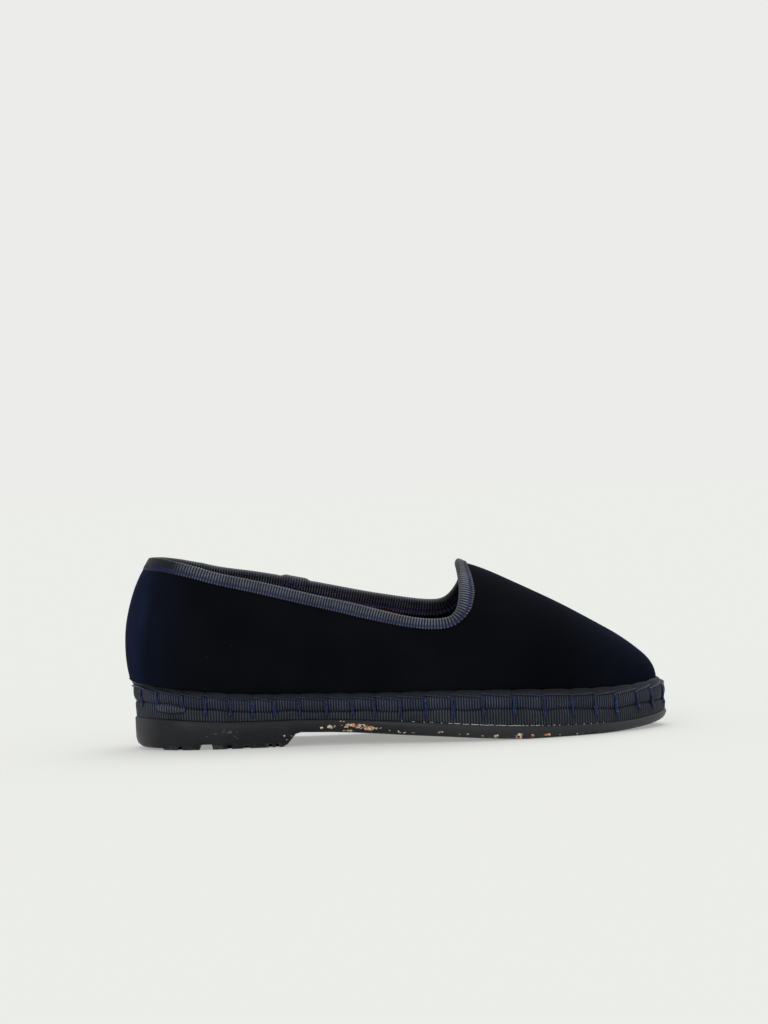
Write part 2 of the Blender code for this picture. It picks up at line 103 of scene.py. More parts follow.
# Heights of the stacked layers along the shoe
LAYER_TOPS = (
    # along, rubber, midsole, welt
    (-4.0, 15.2, 22.4, 33.4),
    (14.0, 14.9, 22.0, 29.6),
    (34.0, 13.5, 19.0, 27.0),
    (60.0, 12.7, 17.1, 24.9),
    (80.0, 12.6, 16.4, 24.4),
    (115.0, 11.1, 15.4, 23.6),
    (140.0, 9.5, 15.3, 23.7),
    (166.0, 7.4, 14.8, 23.4),
    (197.0, 5.7, 13.4, 22.2),
    (223.0, 5.0, 11.8, 21.2),
    (242.0, 5.6, 12.1, 21.7),
    (256.0, 7.8, 13.6, 23.6),
)

# How far the foot of the upper stands inside the rubber's edge, along the shoe
FOOT_INSET = (
    # along, inset
    (0.0, -1.8),
    (14.0, -0.5),
    (34.0, 1.2),
    (64.0, 2.8),
    (120.0, 3.2),
    (220.0, 3.4),
    (246.0, 3.9),
    (256.0, 4.5),
)

# Sections of the last. Stations below 0 are degrees round the heel, and those above are
# millimetres ahead of the heel's pivot
SECTIONS = (
    # place, station, centre line, side fullness, crown fullness, outer swell, inner swell
    ("centre back", -90.0, 1.5, 1.95, 2.45, 2.4, 2.4),
    ("heel quarter", -45.0, 1.5, 2.2, 2.2, 2.9, 2.9),
    ("heel side", 0.0, 1.5, 2.4, 2.2, 3.0, 3.0),
    ("waist", 50.0, 0.5, 2.6, 2.25, 3.4, 5.0),
    ("instep", 90.0, 1.5, 2.4, 2.15, 2.6, 4.4),
    ("throat", 123.0, 2.5, 2.15, 1.95, 1.4, 2.2),
    ("vamp", 150.0, 3.5, 2.05, 1.9, 0.9, 0.9),
    ("toe box", 190.0, 5.0, 2.1, 1.95, 0.4, 0.3),
    ("toe tip", 217.8, 7.0, 2.1, 2.0, 0.0, 0.0),
)

# The ridge of the last: rise over the foot line, by distance back from the tip of the upper.
# Behind the throat this is where the top of a closed last would be
RIDGE = (
    # back, rise
    (0.0, 0.0),
    (1.1, 5.2),
    (4.3, 10.6),
    (8.6, 15.1),
    (17.9, 22.8),
    (30.7, 30.7),
    (45.0, 38.5),
    (59.3, 45.3),
    (73.5, 51.7),
    (87.7, 57.5),
    (95.0, 59.6),
    (103.0, 62.0),
    (120.0, 67.5),
    (160.0, 75.5),
    (218.0, 77.7),
)

# Edge of the wall along each side of the collar, by the stations of the last
COLLAR_OUTER = (
    # place, station, height
    ("centre back", -90.0, 90.0),
    ("heel", -50.0, 89.4),
    ("heel side", -10.0, 85.5),
    ("heel front", 8.0, 81.7),
    ("quarter", 24.0, 77.7),
    ("ankle", 47.5, 71.2),
    ("waist", 70.5, 65.2),
    ("instep", 93.6, 58.7),
    ("low point", 109.0, 56.3),
    ("throat corner", 118.5, 58.0),
    ("throat", 122.8, 65.4),
)

COLLAR_INNER = (
    # place, station, height
    ("heel", -50.0, 89.3),
    ("heel side", -4.0, 85.8),
    ("quarter", 23.0, 80.8),
    ("ankle", 45.4, 76.2),
    ("waist", 71.5, 70.2),
    ("instep", 96.0, 65.1),
    ("low point", 108.5, 63.2),
    ("throat corner", 117.6, 64.0),
    ("throat", 123.6, 70.0),
)

# Edge of the wall across the front of the collar
COLLAR_FRONT = (
    # place, station, across
    ("outer corner", 123.8, -20.5),
    ("outer front", 123.5, -9.0),
    ("middle", 123.6, 2.6),
    ("inner front", 124.6, 13.5),
    ("inner corner", 125.4, 22.0),
)

# Each row of the upper runs from its foot to the collar. Shares are of the way from back to front
ROW_ENDS = (
    # place, foot share, collar share
    ("centre back", 0.0, 0.0),
    ("heel side", 0.145, 0.165),
    ("waist", 0.335, 0.44),
    ("low point", 0.535, 0.715),
    ("throat corner", 0.66, 0.785),
    ("tongue", 0.80, 0.875),
    ("toe corner", 0.90, 0.94),
    ("centre front", 1.0, 1.0),
)


def spline(knots, values, closed=False):
    """Cubic spline through the values. The last knot of a closed one is its start again."""
    knots = np.asarray(knots, float)
    values = np.asarray(values, float)
    if values.ndim == 1:
        values = values[:, None]
    count = len(knots)
    gaps = np.diff(knots)
    rises = np.diff(values, axis=0) / gaps[:, None]
    bends = np.zeros_like(values)
    if closed:
        size = count - 1
        matrix = np.zeros((size, size))
        right = np.zeros((size, values.shape[1]))
        for i in range(size):
            before, after = gaps[i - 1], gaps[i]
            matrix[i, i - 1] += before
            matrix[i, i] += 2 * (before + after)
            matrix[i, (i + 1) % size] += after
            right[i] = 6 * (rises[i] - rises[i - 1])
        bends[:size] = np.linalg.solve(matrix, right)
        bends[size] = bends[0]
    else:
        matrix = np.eye(count)
        right = np.zeros_like(values)
        for i in range(1, count - 1):
            matrix[i, i - 1 : i + 2] = gaps[i - 1], 2 * (gaps[i - 1] + gaps[i]), gaps[i]
            right[i] = 6 * (rises[i] - rises[i - 1])
        bends = np.linalg.solve(matrix, right)

    def at(where):
        where = np.atleast_1d(np.asarray(where, float))
        span = np.clip(np.searchsorted(knots, where, side="right") - 1, 0, count - 2)
        gap = gaps[span][:, None]
        low = ((knots[span + 1] - where)[:, None]) / gap
        high = 1 - low
        curve = low * values[span] + high * values[span + 1]
        return curve + ((low**3 - low) * bends[span] + (high**3 - high) * bends[span + 1]) * gap**2 / 6

    return at


def rows_at(places, knots, table):
    """A table's rows at these places along its knots, on straight lines between them."""
    return np.column_stack([np.interp(places, knots, values) for values in table.T])


def chord_knots(points):
    """Running length of the straight lines through the points."""
    return np.concatenate([[0.0], np.cumsum(np.linalg.norm(np.diff(points, axis=0), axis=1))])


def column(table, place, value):
    """A spline through one column of a table, by another."""
    rows = [[row[place], row[value]] for row in table]
    knots, values = zip(*rows)
    curve = spline(knots, values)
    low, high = knots[0], knots[-1]
    return lambda where: float(curve(min(max(where, low), high))[0, 0])


class Outline:
    """A closed outline seen from above, with an outer (-Y) and an inner (+Y) half."""

    def __init__(self, points):
        back = int(np.argmin(points[:, 0]))
        self.points = np.roll(points, -back, axis=0)
        front = int(np.argmax(self.points[:, 0]))
        self.outer = self.points[: front + 1]
        self.inner = np.vstack([self.points[front:], self.points[:1]])[::-1]
        self.high = float(self.points[front, 0])

    @classmethod
    def through(cls, table):
        points = np.array([row[1:3] for row in table])
        loop = np.vstack([points, points[:1]])
        knots = chord_knots(loop)
        places = np.linspace(0, knots[-1], OUTLINE_SAMPLES, endpoint=False)
        return cls(spline(knots, loop, closed=True)(places))

    def inset(self, distance):
        """The outline moved inwards by distance(along) millimetres."""
        ahead = np.roll(self.points, -1, axis=0) - np.roll(self.points, 1, axis=0)
        inward = np.column_stack([-ahead[:, 1], ahead[:, 0]])
        inward /= np.linalg.norm(inward, axis=1)[:, None]
        moves = np.array([distance(along) for along in self.points[:, 0]])
        return Outline(self.points + inward * moves[:, None])

    def half(self, side):
        """The outer half for side -1, the inner half for side 1."""
        return self.outer if side < 0 else self.inner

    def across(self, along, side):
        half = self.half(side)
        return float(np.interp(along, half[:, 0], half[:, 1]))

    def by_share(self, side, shares):
        """Points on one half, at these shares of its length from the back."""
        return by_share(self.half(side), shares)


SOLE = Outline.through(SOLE_EDGE)
foot_inset = column(FOOT_INSET, 0, 1)
rubber_top = column(LAYER_TOPS, 0, 1)
midsole_top = column(LAYER_TOPS, 0, 2)
welt_top = column(LAYER_TOPS, 0, 3)
FOOT = SOLE.inset(foot_inset)


def foot_height(along):
    """Height of the wall's lower edge."""
    return welt_top(along) + FIT_GAP


class Last:
    """The outer face of the upper, as a closed form that the collar is cut from."""

    SWELL_TOP = 1.0  # share of the ridge's height where the swell of the wall ends

    def __init__(self):
        self.centre = column(SECTIONS, 1, 2)
        self.side = column(SECTIONS, 1, 3)
        self.crown = column(SECTIONS, 1, 4)
        self.swells = {-1: column(SECTIONS, 1, 5), 1: column(SECTIONS, 1, 6)}
        self.ridge = spline([math.sqrt(back) for back, _ in RIDGE], [rise for _, rise in RIDGE])
        self.pivot = np.array([HEEL_PIVOT, self.centre(0.0)])
        self.reach = {side: self._heel_reach(side) for side in (-1, 1)}

    def _heel_reach(self, side):
        """Distance from the pivot to the foot line, by degrees round the heel."""
        half = FOOT.half(side)
        rays = half[half[:, 0] < HEEL_PIVOT + 12.0] - self.pivot
        degrees = np.degrees(np.arctan2(-rays[:, 0], np.abs(rays[:, 1])))
        order = np.argsort(degrees)
        return degrees[order], np.linalg.norm(rays, axis=1)[order]

    def frame(self, station, side):
        """Where a half section starts, the way it faces, its width, foot height, rise and shape."""
        if station < 0:
            turn = math.radians(-station)
            start = self.pivot
            way = np.array([-math.sin(turn), side * math.cos(turn)])
            width = float(np.interp(-station, *self.reach[side]))
            foot = foot_height(start[0] + way[0] * width)
            top = foot_height(HEEL_PIVOT) + self.rise(FOOT.high - HEEL_PIVOT)
            rise = top - foot
        else:
            along = min(HEEL_PIVOT + station, FOOT.high - 1e-3)
            start = np.array([along, self.centre(station)])
            way = np.array([0.0, float(side)])
            width = abs(FOOT.across(along, side) - start[1])
            foot = foot_height(along)
            rise = self.rise(FOOT.high - along)
        shape = self.side(station), self.crown(station), self.swells[side](station)
        return start, way, max(width, 1e-3), foot, max(rise, 1e-3), shape

    def rise(self, back):
        return float(self.ridge(math.sqrt(back))[0, 0])

    def swell(self, level, amount):
        share = min(max(level / self.SWELL_TOP, 0.0), 1.0)
        return amount * 6.75 * share * (1 - share) ** 2

    def point(self, station, side, turn):
        """A point at an angle up the section: 0 at the foot, a right angle at the ridge."""
        start, way, width, foot, rise, (fullness, crown, amount) = self.frame(station, side)
        level = math.sin(turn) ** (2 / crown)
        out = width * max(math.cos(turn), 0.0) ** (2 / fullness) + self.swell(level, amount)
        flat = start + way * out
        return np.array([flat[0], flat[1], foot + rise * level])

    def at_height(self, station, side, height):
        """The point of one half section at a height."""
        _, _, _, foot, rise, (_, crown, _) = self.frame(station, side)
        return self.point(station, side, math.asin(((height - foot) / rise) ** (crown / 2)))

    def at_across(self, station, across):
        """The point of a section at a distance across the shoe, high up on the last."""
        centre = self.centre(station)
        side = -1 if across < centre else 1
        _, _, width, _, _, (fullness, crown, amount) = self.frame(station, side)
        level = 1.0
        for _ in range(20):
            out = max(abs(across - centre) - self.swell(level, amount), 0.0) / width
            turn = math.acos(min(out, 1.0) ** (fullness / 2))
            level = math.sin(turn) ** (2 / crown)
        return self.point(station, side, turn)

    def onto(self, place):
        """The point of the face that a place near it belongs to."""
        place = np.asarray(place, float)
        if place[0] < HEEL_PIVOT:
            ray = place[:2] - self.pivot
            station = -math.degrees(math.atan2(-ray[0], abs(ray[1])))
            side = -1 if ray[1] < 0 else 1
        else:
            station = place[0] - HEEL_PIVOT
            side = -1 if place[1] < self.centre(station) else 1
        start, way, width, foot, rise, (fullness, crown, amount) = self.frame(station, side)
        level = max((place[2] - foot) / rise, 0.0)
        out = float((place[:2] - start) @ way) - self.swell(level, amount)
        turn = math.atan2(level ** (crown / 2), max(out / width, 0.0) ** (fullness / 2))
        return self.point(station, side, turn)

    def normal(self, place, along, step=0.6):
        """Outward normal of the face near a place, from its slope along and across the given way."""
        along = along / np.linalg.norm(along)
        guess = self.outward_guess(place)
        down = np.cross(along, guess)
        down /= np.linalg.norm(down)
        first = self.onto(place + along * step) - self.onto(place - along * step)
        second = self.onto(place + down * step) - self.onto(place - down * step)
        normal = np.cross(first, second)
        normal /= np.linalg.norm(normal)
        return normal if normal @ guess > 0 else -normal

    def outward_guess(self, place):
        """A rough outward way: from the inside of the last to the place."""
        inside = np.array([max(place[0], HEEL_PIVOT), 0.0, 0.0])
        inside[0] = min(inside[0], FOOT.high - 25.0)
        inside[1] = self.centre(inside[0] - HEEL_PIVOT)
        inside[2] = foot_height(inside[0])
        way = place - inside
        return way / np.linalg.norm(way)


LAST = Last()


def collar_halves(count):
    """Fine points of the collar's edge on the last, as two halves from the back to the front's middle."""
    outer = [LAST.at_height(station, -1, height) for _, station, height in COLLAR_OUTER]
    inner = [LAST.at_height(station, 1, height) for _, station, height in COLLAR_INNER]
    front = [LAST.at_across(station, across) for _, station, across in COLLAR_FRONT]
    loop = np.array([*outer, *front, *inner[::-1], outer[0]])
    knots = chord_knots(loop)
    fine = spline(knots, loop, closed=True)(np.linspace(0, knots[-1], count, endpoint=False))
    fine = np.array([LAST.onto(place) for place in fine])
    middle = front[[row[0] for row in COLLAR_FRONT].index("middle")]
    tip = int(np.argmin(np.linalg.norm(fine - middle, axis=1)))
    return {-1: fine[: tip + 1], 1: np.vstack([fine[tip:], fine[:1]])[::-1]}


def by_share(curve, shares):
    """Points of a fine curve at these shares of its length."""
    run = chord_knots(curve)
    return rows_at(np.asarray(shares) * run[-1], run, curve)


def round_the_shoe(halves):
    """One closed run of rows: forward along the outer side, and back along the inner side."""
    return np.vstack([halves[-1], halves[1][::-1][1:-1]])


# Sizes of the cloth, ribbon and thread
RIB = 1.33  # one rib of the ribbon
WELT_RIB = 1.26
RIB_RISE = 0.2
COLLAR_RIB_RISE = 0.15
COLUMNS_PER_RIB = 4
THREAD = 0.43  # radius of one strand of the blue thread
SEWING_THREAD = 0.14
SEWING_PITCH = 1.7  # one zigzag of the collar's sewing
LOOSE_THREAD = 0.22
GLUE_BEAD = 0.17
INNER_STITCH_GAP = 12.6
WELD = 1e-6  # points closer than this are one, in metres

# Spans along the sole's outer side where the fold of ribbon and the glue show
FOLD_SPAN = (12.0, 25.5)
GLUE_SPAN = (126.0, 222.0)

# Blanket stitches along the outer side, in millimetres round the sole from the back
OUTER_STITCHES = (
    14.3, 25.9, 39.4, 50.6, 62.2, 73.1, 83.4, 94.8, 107.4, 119.3, 130.2,
    142.4, 154.5, 167.2, 181.7, 196.3, 210.9, 224.9, 237.0, 249.0, 262.5, 273.9, 286.0,
)

# How far the collar's ribbon reaches down the wall, by share of the collar from back to front
OUTER_FLAP = (
    (0.0, 5.8),
    (0.06, 6.2),
    (0.1, 5.7),
    (0.13, 5.1),
    (0.18, 4.7),
    (0.35, 4.7),
    (0.45, 4.4),
    (0.55, 4.6),
    (0.62, 4.1),
    (0.68, 3.8),
    (0.77, 4.1),
    (0.8, 5.4),
    (0.84, 5.8),
    (0.88, 5.2),
    (0.94, 4.2),
    (1.0, 4.0),
)
INNER_FLAP = (
    (0.0, 6.0),
    (0.58, 6.3),
    (0.625, 6.3),
    (0.655, 5.7),
    (0.69, 6.6),
    (0.72, 8.4),
    (0.76, 9.5),
    (0.8, 9.5),
    (0.87, 7.4),
    (1.0, 5.5),
)
INNER_RIBS_END = 6.5  # below this the ribbon inside the throat lies flat, darkened with painted deep shade

FAR_SHADE = 0.5  # painted shade on the ribbon's fold over the edge, on the shoe's inner side

# Where the two ends of the collar's ribbon overlap, as shares of the collar's inner side
RIBBON_JOIN = (0.385, 0.455)

# The seam of the piece at the back of the heel: degrees round the heel, by height
BACK_SEAM = (
    (30.0, 53.0),
    (43.0, 47.5),
    (60.0, 45.0),
    (70.0, 45.5),
    (81.0, 51.0),
    (90.0, 54.0),
)

# The rubber that closes the heel's blind grooves: along, width, height
WEB_INSET = 5.0  # it stops this far short of the sole's two sides
HEEL_WEBS = ((22.0, 2.6, 2.2), (45.4, 2.6, 2.2), (53.4, 3.8, 1.9), (64.6, 2.2, 2.0), (67.8, 2.2, 2.0))

# Places where the rubber's pale core shows along its outer side
CHIPS = (
    # along, height, half length, half height, share of orange
    (89.0, 8.3, 0.9, 0.8, 0.1),
    (93.4, 8.8, 1.8, 1.0, 0.2),
    (97.8, 11.2, 2.2, 0.45, 0.6),
    (101.5, 9.0, 3.2, 1.1, 0.2),
    (107.0, 8.6, 3.6, 1.2, 0.4),
    (111.0, 7.4, 2.4, 1.3, 0.3),
    (101.0, 6.6, 3.4, 0.6, 0.2),
    (115.0, 7.6, 3.2, 0.6, 0.3),
    (120.6, 6.4, 0.9, 0.5, 0.4),
    (124.8, 5.6, 0.8, 0.9, 0.2),
    (127.6, 5.2, 0.9, 0.7, 0.1),
    (131.8, 5.0, 1.0, 0.5, 0.6),
    (144.0, 5.0, 1.9, 0.6, 0.1),
    (152.9, 3.7, 1.3, 0.4, 0.6),
    (156.4, 3.5, 0.8, 0.6, 0.1),
    (163.6, 2.6, 0.9, 0.7, 0.1),
    (169.6, 2.2, 1.3, 0.9, 0.1),
    (180.9, 1.6, 1.6, 1.1, 0.5),
    (186.4, 1.5, 1.0, 1.0, 1.0),
    (193.6, 1.4, 1.4, 0.9, 0.7),
    (199.6, 1.2, 0.8, 0.4, 0.1),
    (207.8, 1.0, 0.9, 0.4, 0.1),
    (71.2, 5.2, 0.6, 0.9, 0.1),
    (72.4, 3.6, 0.5, 0.7, 0.1),
    (74.8, 5.0, 0.5, 0.35, 0.1),
    (35.0, 6.4, 0.28, 0.22, 0.1),
    (49.6, 5.2, 0.2, 0.45, 0.1),
    (252.5, 7.3, 0.5, 0.5, 0.9),
)


def to_row(points):
    """Shoe millimetres to the row frame's metres."""
    return (np.asarray(points) - [ORIGIN_ALONG, ORIGIN_ACROSS, 0.0]) * MM


def ramp(value, start, end):
    """0 at the start and before it, 1 at the end and after it, and straight between."""
    return np.clip((value - start) / (end - start), 0, 1)


def srgb(red, green, blue):
    """A colour from 0 to 255 as the shader's linear values."""
    channels = [value / 255 for value in (red, green, blue)]
    return [c / 12.92 if c <= 0.04045 else ((c + 0.055) / 1.055) ** 2.4 for c in channels]


def dimmed(colour, share):
    return [value * share for value in colour]


class Value:
    """A socket of a material's nodes. Operators on it add Math nodes."""

    def __init__(self, nodes, socket):
        self.nodes = nodes
        self.socket = socket

    def math(self, operation, *others):
        inputs = dict(enumerate((self, *others)))
        return self.nodes.add("ShaderNodeMath", {"operation": operation}, inputs)

    def __add__(self, other):
        return self.math("ADD", other)

    __radd__ = __add__

    def __mul__(self, other):
        return self.math("MULTIPLY", other)

    def __sub__(self, other):
        return self.math("SUBTRACT", other)

    def __rsub__(self, other):
        return (self * -1.0) + other

    def __truediv__(self, other):
        return self.math("DIVIDE", other)

    def sine(self):
        return self.math("SINE")

    def steps(self, low, high):
        """0 below low, 1 above high, and smooth between."""
        return self.nodes.add(
            "ShaderNodeMapRange",
            {"interpolation_type": "SMOOTHSTEP"},
            {"Value": self, "From Min": low, "From Max": high},
            "Result",
        )


class Material:
    """A Principled material that is built up node by node."""

    def __init__(self, name, **settings):
        self.made = bpy.data.materials.new(name)
        self.made.use_nodes = True
        self.tree = self.made.node_tree
        self.shader = self.tree.nodes["Principled BSDF"]
        for socket, value in settings.items():
            self.shader.inputs[socket.replace("_", " ")].default_value = value

    def add(self, kind, settings=None, inputs=None, output=0):
        node = self.tree.nodes.new(kind)
        for key, value in (settings or {}).items():
            setattr(node, key, value)
        for key, value in (inputs or {}).items():
            self.put(node.inputs[key], value)
        return Value(self, node.outputs[output])

    def put(self, socket, value):
        if isinstance(value, Value):
            self.tree.links.new(value.socket, socket)
        elif isinstance(value, (list, tuple)) and socket.type == "RGBA" and len(value) == 3:
            socket.default_value = (*value, 1.0)
        else:
            socket.default_value = value

    def feed(self, **inputs):
        for socket, value in inputs.items():
            self.put(self.shader.inputs[socket.replace("_", " ")], value)

    def place(self):
        return self.add("ShaderNodeTexCoord", output="Object")

    def attribute(self, name):
        return self.add("ShaderNodeAttribute", {"attribute_name": name}, {}, "Fac")

    def patch(self, value, middle, reach):
        """1 at a middle value, and 0 from the reach outwards."""
        return 1.0 - ((value - middle).math("ABSOLUTE") / reach).math("MINIMUM", 1.0)

    def axis(self, vector, name):
        return self.add("ShaderNodeSeparateXYZ", {}, {"Vector": vector}, name)

    def noise(self, scale, detail, stretch=None):
        vector = self.place()
        if stretch:
            vector = self.add("ShaderNodeMapping", {}, {"Vector": vector, "Scale": stretch})
        return self.add("ShaderNodeTexNoise", {}, {"Vector": vector, "Scale": scale, "Detail": detail}, "Fac")

    def mix(self, share, first, second):
        return self.add("ShaderNodeMix", {"data_type": "RGBA"}, {0: share, 6: first, 7: second}, 2)

    def bump(self, height, depth, strength, under=None):
        inputs = {"Height": height, "Distance": depth, "Strength": strength}
        if under:
            inputs["Normal"] = under
        return self.add("ShaderNodeBump", {}, inputs)


def make_velvet():
    """Dark navy pile, nearly black face on, with a painted blue sheen where it is marked: on the back piece,
    whose pile is brushed the other way, beside that piece's seam and on the toe.
    """
    velvet = Material(
        "navy_velvet",
        Roughness=0.9,
        Sheen_Weight=0.045,
        Sheen_Roughness=0.3,
        Sheen_Tint=(*srgb(85, 100, 205), 1.0),
        Specular_IOR_Level=0.02,
    )
    # Painted sheen: the marked places take a lighter blue colour for the velvet's sheen, partly where the
    # back piece's pile runs the other way
    nap_sheen = velvet.attribute("nap_sheen")
    cloud = velvet.noise(32.0, 4.0).steps(0.3, 0.7)
    brushed = velvet.noise(150.0, 3.0, stretch=(1.0, 1.0, 0.35)).steps(0.35, 0.75)
    dark = velvet.mix(cloud, srgb(8, 10, 14), srgb(13, 14, 19))
    painted_bloom = velvet.mix(brushed, srgb(17, 24, 41), srgb(22, 29, 50))
    # Painted shade: the velvet is darkened towards the front, where it faces up into the overhead light
    front = velvet.axis(velvet.place(), "X").steps(0.02, 0.07)
    dark = velvet.mix(front * 0.55, dark, srgb(4, 5, 8))
    lint = velvet.noise(520.0, 1.0).steps(0.8, 0.83)
    face = velvet.mix(lint * 0.25, velvet.mix(nap_sheen, dark, painted_bloom), srgb(70, 72, 76))
    velvet.feed(Base_Color=face)
    pile = velvet.noise(2600.0, 2.0)
    velvet.feed(Normal=velvet.bump(pile, 0.0003, 0.5))
    return velvet.made


def make_ribbon(name, groove, crest, seam):
    """Ribbed ribbon: a painted highlight along the ribs and painted shade between them. The ribs and the sewn
    edge are marked on its points.
    """
    ribbon = Material(
        name,
        Roughness=0.55,
        Sheen_Weight=0.03,
        Sheen_Roughness=0.4,
        Specular_IOR_Level=0.15,
    )
    uneven = ribbon.noise(700.0, 3.0)
    warp = ribbon.noise(80.0, 3.0).steps(0.32, 0.7)
    rib = ribbon.attribute("rib")
    # Painted highlight on the ribs' crests and painted shade in their grooves, drawn from the rib mark
    share = (rib * 1.35 + uneven * 0.6 - 0.55).steps(0.0, 1.0)
    tone = ribbon.mix(warp, crest, dimmed(crest, 0.55))
    face = ribbon.mix(share, groove, tone)
    sewn = ribbon.attribute("sewn") * (0.55 + ribbon.noise(1100.0, 2.0) * 0.8)
    line = ribbon.mix(uneven.steps(0.35, 0.65), dimmed(seam, 0.4), seam)
    stitched = ribbon.mix(rib * 0.75, line, tone)
    face = ribbon.mix(sewn.steps(0.1, 1.0), face, stitched)
    # Painted shade: where the shade mark is set the ribbon darkens to near black
    ribbon.feed(Base_Color=ribbon.mix(ribbon.attribute("shade") * 0.85, face, srgb(4, 5, 8)))
    ribbon.feed(Normal=ribbon.bump(uneven, 0.00025, 0.6))
    return ribbon.made


def make_thread(name, first, second, light):
    """Waxed thread with a little shine, lighter where its fibres catch the light."""
    thread = Material(name, Roughness=0.4, Specular_IOR_Level=0.25)
    patch = thread.noise(110.0, 3.0).steps(0.35, 0.65)
    fibre = thread.noise(900.0, 2.0)
    face = thread.mix(patch, first, second)
    thread.feed(Base_Color=thread.mix(fibre.steps(0.5, 0.8) * 0.7, face, light))
    thread.feed(Normal=thread.bump(fibre, 0.0002, 0.7))
    return thread.made


def make_lining():
    """Crimson cotton, woven plainly."""
    lining = Material("crimson_lining", Roughness=0.85, Sheen_Weight=0.08, Specular_IOR_Level=0.15)
    place = lining.place()
    pitch = 2 * math.pi / 0.0009
    weave = (lining.axis(place, "X") * pitch).sine() * (lining.axis(place, "Z") * pitch).sine()
    shade = (lining.noise(40.0, 4.0) + weave * 0.08).steps(0.3, 0.7)
    lining.feed(Base_Color=lining.mix(shade, srgb(104, 18, 42), srgb(134, 26, 56)))
    lining.feed(Normal=lining.bump(weave, 0.00012, 0.6))
    return lining.made


def make_rubber():
    """Black moulded rubber, lighter grey over the forefoot, the toe and the back of the heel, and scuffed
    along its edges.
    """
    rubber = Material("black_rubber", Specular_IOR_Level=0.25)
    place = rubber.place()
    along = rubber.axis(place, "X")
    height = rubber.axis(place, "Z")
    cloud = rubber.noise(45.0, 5.0, stretch=(1.0, 1.0, 2.0)).steps(0.38, 0.72)
    base = rubber.mix(cloud, srgb(11, 13, 18), srgb(24, 26, 31))
    base = rubber.mix(along.steps(-0.03, 0.05) * 0.7, base, srgb(44, 45, 50))
    base = rubber.mix(along.steps(0.085, 0.115) * 0.6, base, srgb(58, 60, 66))
    base = rubber.mix(along.steps(-0.112, -0.126) * 0.6, base, srgb(60, 55, 60))
    edge = rubber.noise(230.0, 4.0).steps(0.5, 0.66) * height.steps(0.003, 0.001)
    base = rubber.mix(edge * 0.4, base, srgb(92, 90, 86))
    scuffed = rubber.patch(along, -0.083, 0.015) * rubber.patch(height, 0.0078, 0.006)
    scratch = rubber.noise(420.0, 3.0, stretch=(1.0, 1.0, 1.7)) + scuffed * 0.3
    scratch = scratch.steps(0.74, 0.84) * scuffed.steps(0.02, 0.2)
    base = rubber.mix(scratch * 0.45, base, srgb(96, 95, 93))
    dust = rubber.noise(1300.0, 3.0).steps(0.72, 0.78)
    base = rubber.mix(dust * 0.2, base, srgb(120, 118, 112))
    # Painted shade: near-black stripes along the toe's bottom edge stand for the shaded gaps between tread
    # teeth
    teeth = (along * 4500.0).sine().steps(0.1, 0.4) * rubber.patch(along, 0.09, 0.014).steps(0.1, 0.3)
    base = rubber.mix(teeth * height.steps(0.0014, 0.001), base, srgb(8, 8, 9))
    rubber.feed(Base_Color=base)
    rubber.feed(Roughness=cloud * 0.2 + 0.42)
    grain = rubber.noise(1500.0, 3.0)
    scuffs = rubber.noise(170.0, 4.0, stretch=(1.0, 1.0, 3.0))
    rough = rubber.bump(scuffs, 0.0004, 0.3)
    rubber.feed(Normal=rubber.bump(grain + scratch * 2.0, 0.00012, 0.5, under=rough))
    return rubber.made


def make_crumb():
    """The rubber's torn core: pale crumbs, some of them orange."""
    crumb = Material("rubber_crumb", Roughness=0.85, Specular_IOR_Level=0.1)
    grain = crumb.noise(900.0, 3.0)
    pale = crumb.mix(grain.steps(0.35, 0.65), srgb(138, 112, 92), srgb(220, 198, 172))
    orange = crumb.mix(grain.steps(0.4, 0.6), srgb(140, 62, 34), srgb(222, 140, 88))
    hue = (crumb.noise(420.0, 1.0) + crumb.attribute("orange") * 0.4 - 0.2).steps(0.48, 0.6)
    dark = crumb.noise(650.0, 2.0).steps(0.56, 0.64)
    crumb.feed(Base_Color=crumb.mix(dark, crumb.mix(hue, pale, orange), srgb(30, 28, 28)))
    crumb.feed(Normal=crumb.bump(grain, 0.0004, 0.8))
    return crumb.made


def make_plain(name, colour, roughness):
    """One colour with a fine grain and small changes of shade."""
    plain = Material(name, Roughness=roughness, Specular_IOR_Level=0.3)
    shade = plain.noise(600.0, 3.0)
    plain.feed(Base_Color=plain.mix(shade.steps(0.3, 0.7), dimmed(colour, 0.55), colour))
    plain.feed(Normal=plain.bump(shade, 0.0002, 0.5))
    return plain.made


def only(made):
    """Deselects everything, then selects this object and makes it the active one."""
    bpy.ops.object.select_all(action="DESELECT")
    made.select_set(True)
    bpy.context.view_layer.objects.active = made


def cloth_grid(name, points, finish, closed_across=False, marks=None, closed_round=True):
    """A grid primitive whose points are moved to their places. Rows that run round the shoe meet."""
    wrap = [(0, int(closed_round)), (0, int(closed_across)), (0, 0)]
    points = np.pad(points, wrap, mode="wrap")
    rows, levels = points.shape[:2]
    bpy.ops.object.select_all(action="DESELECT")
    bpy.ops.mesh.primitive_grid_add(x_subdivisions=rows - 1, y_subdivisions=levels - 1, size=1.0)
    made = bpy.context.object
    made.name = name
    made.data.name = name
    made.data.vertices.foreach_set("co", to_row(points).transpose(1, 0, 2).reshape(-1))
    for mark, values in (marks or {}).items():
        layer = made.data.attributes.new(mark, "FLOAT", "POINT")
        values = np.pad(values, wrap[:2], mode="wrap")
        layer.data.foreach_set("value", values.T.reshape(-1).astype(np.float32))
    bpy.ops.object.mode_set(mode="EDIT")
    bpy.ops.mesh.select_all(action="SELECT")
    bpy.ops.mesh.remove_doubles(threshold=WELD)
    bpy.ops.mesh.normals_make_consistent(inside=False)
    bpy.ops.object.mode_set(mode="OBJECT")
    bpy.ops.object.shade_smooth()
    made.data.materials.append(finish)
    return made


def thicken(made, wall, offset=-1.0):
    """Gives an open sheet its thickness."""
    only(made)
    solid = made.modifiers.new("wall", "SOLIDIFY")
    solid.thickness = wall * MM
    solid.offset = offset
    solid.use_rim = True
    bpy.ops.object.modifier_apply(modifier=solid.name)


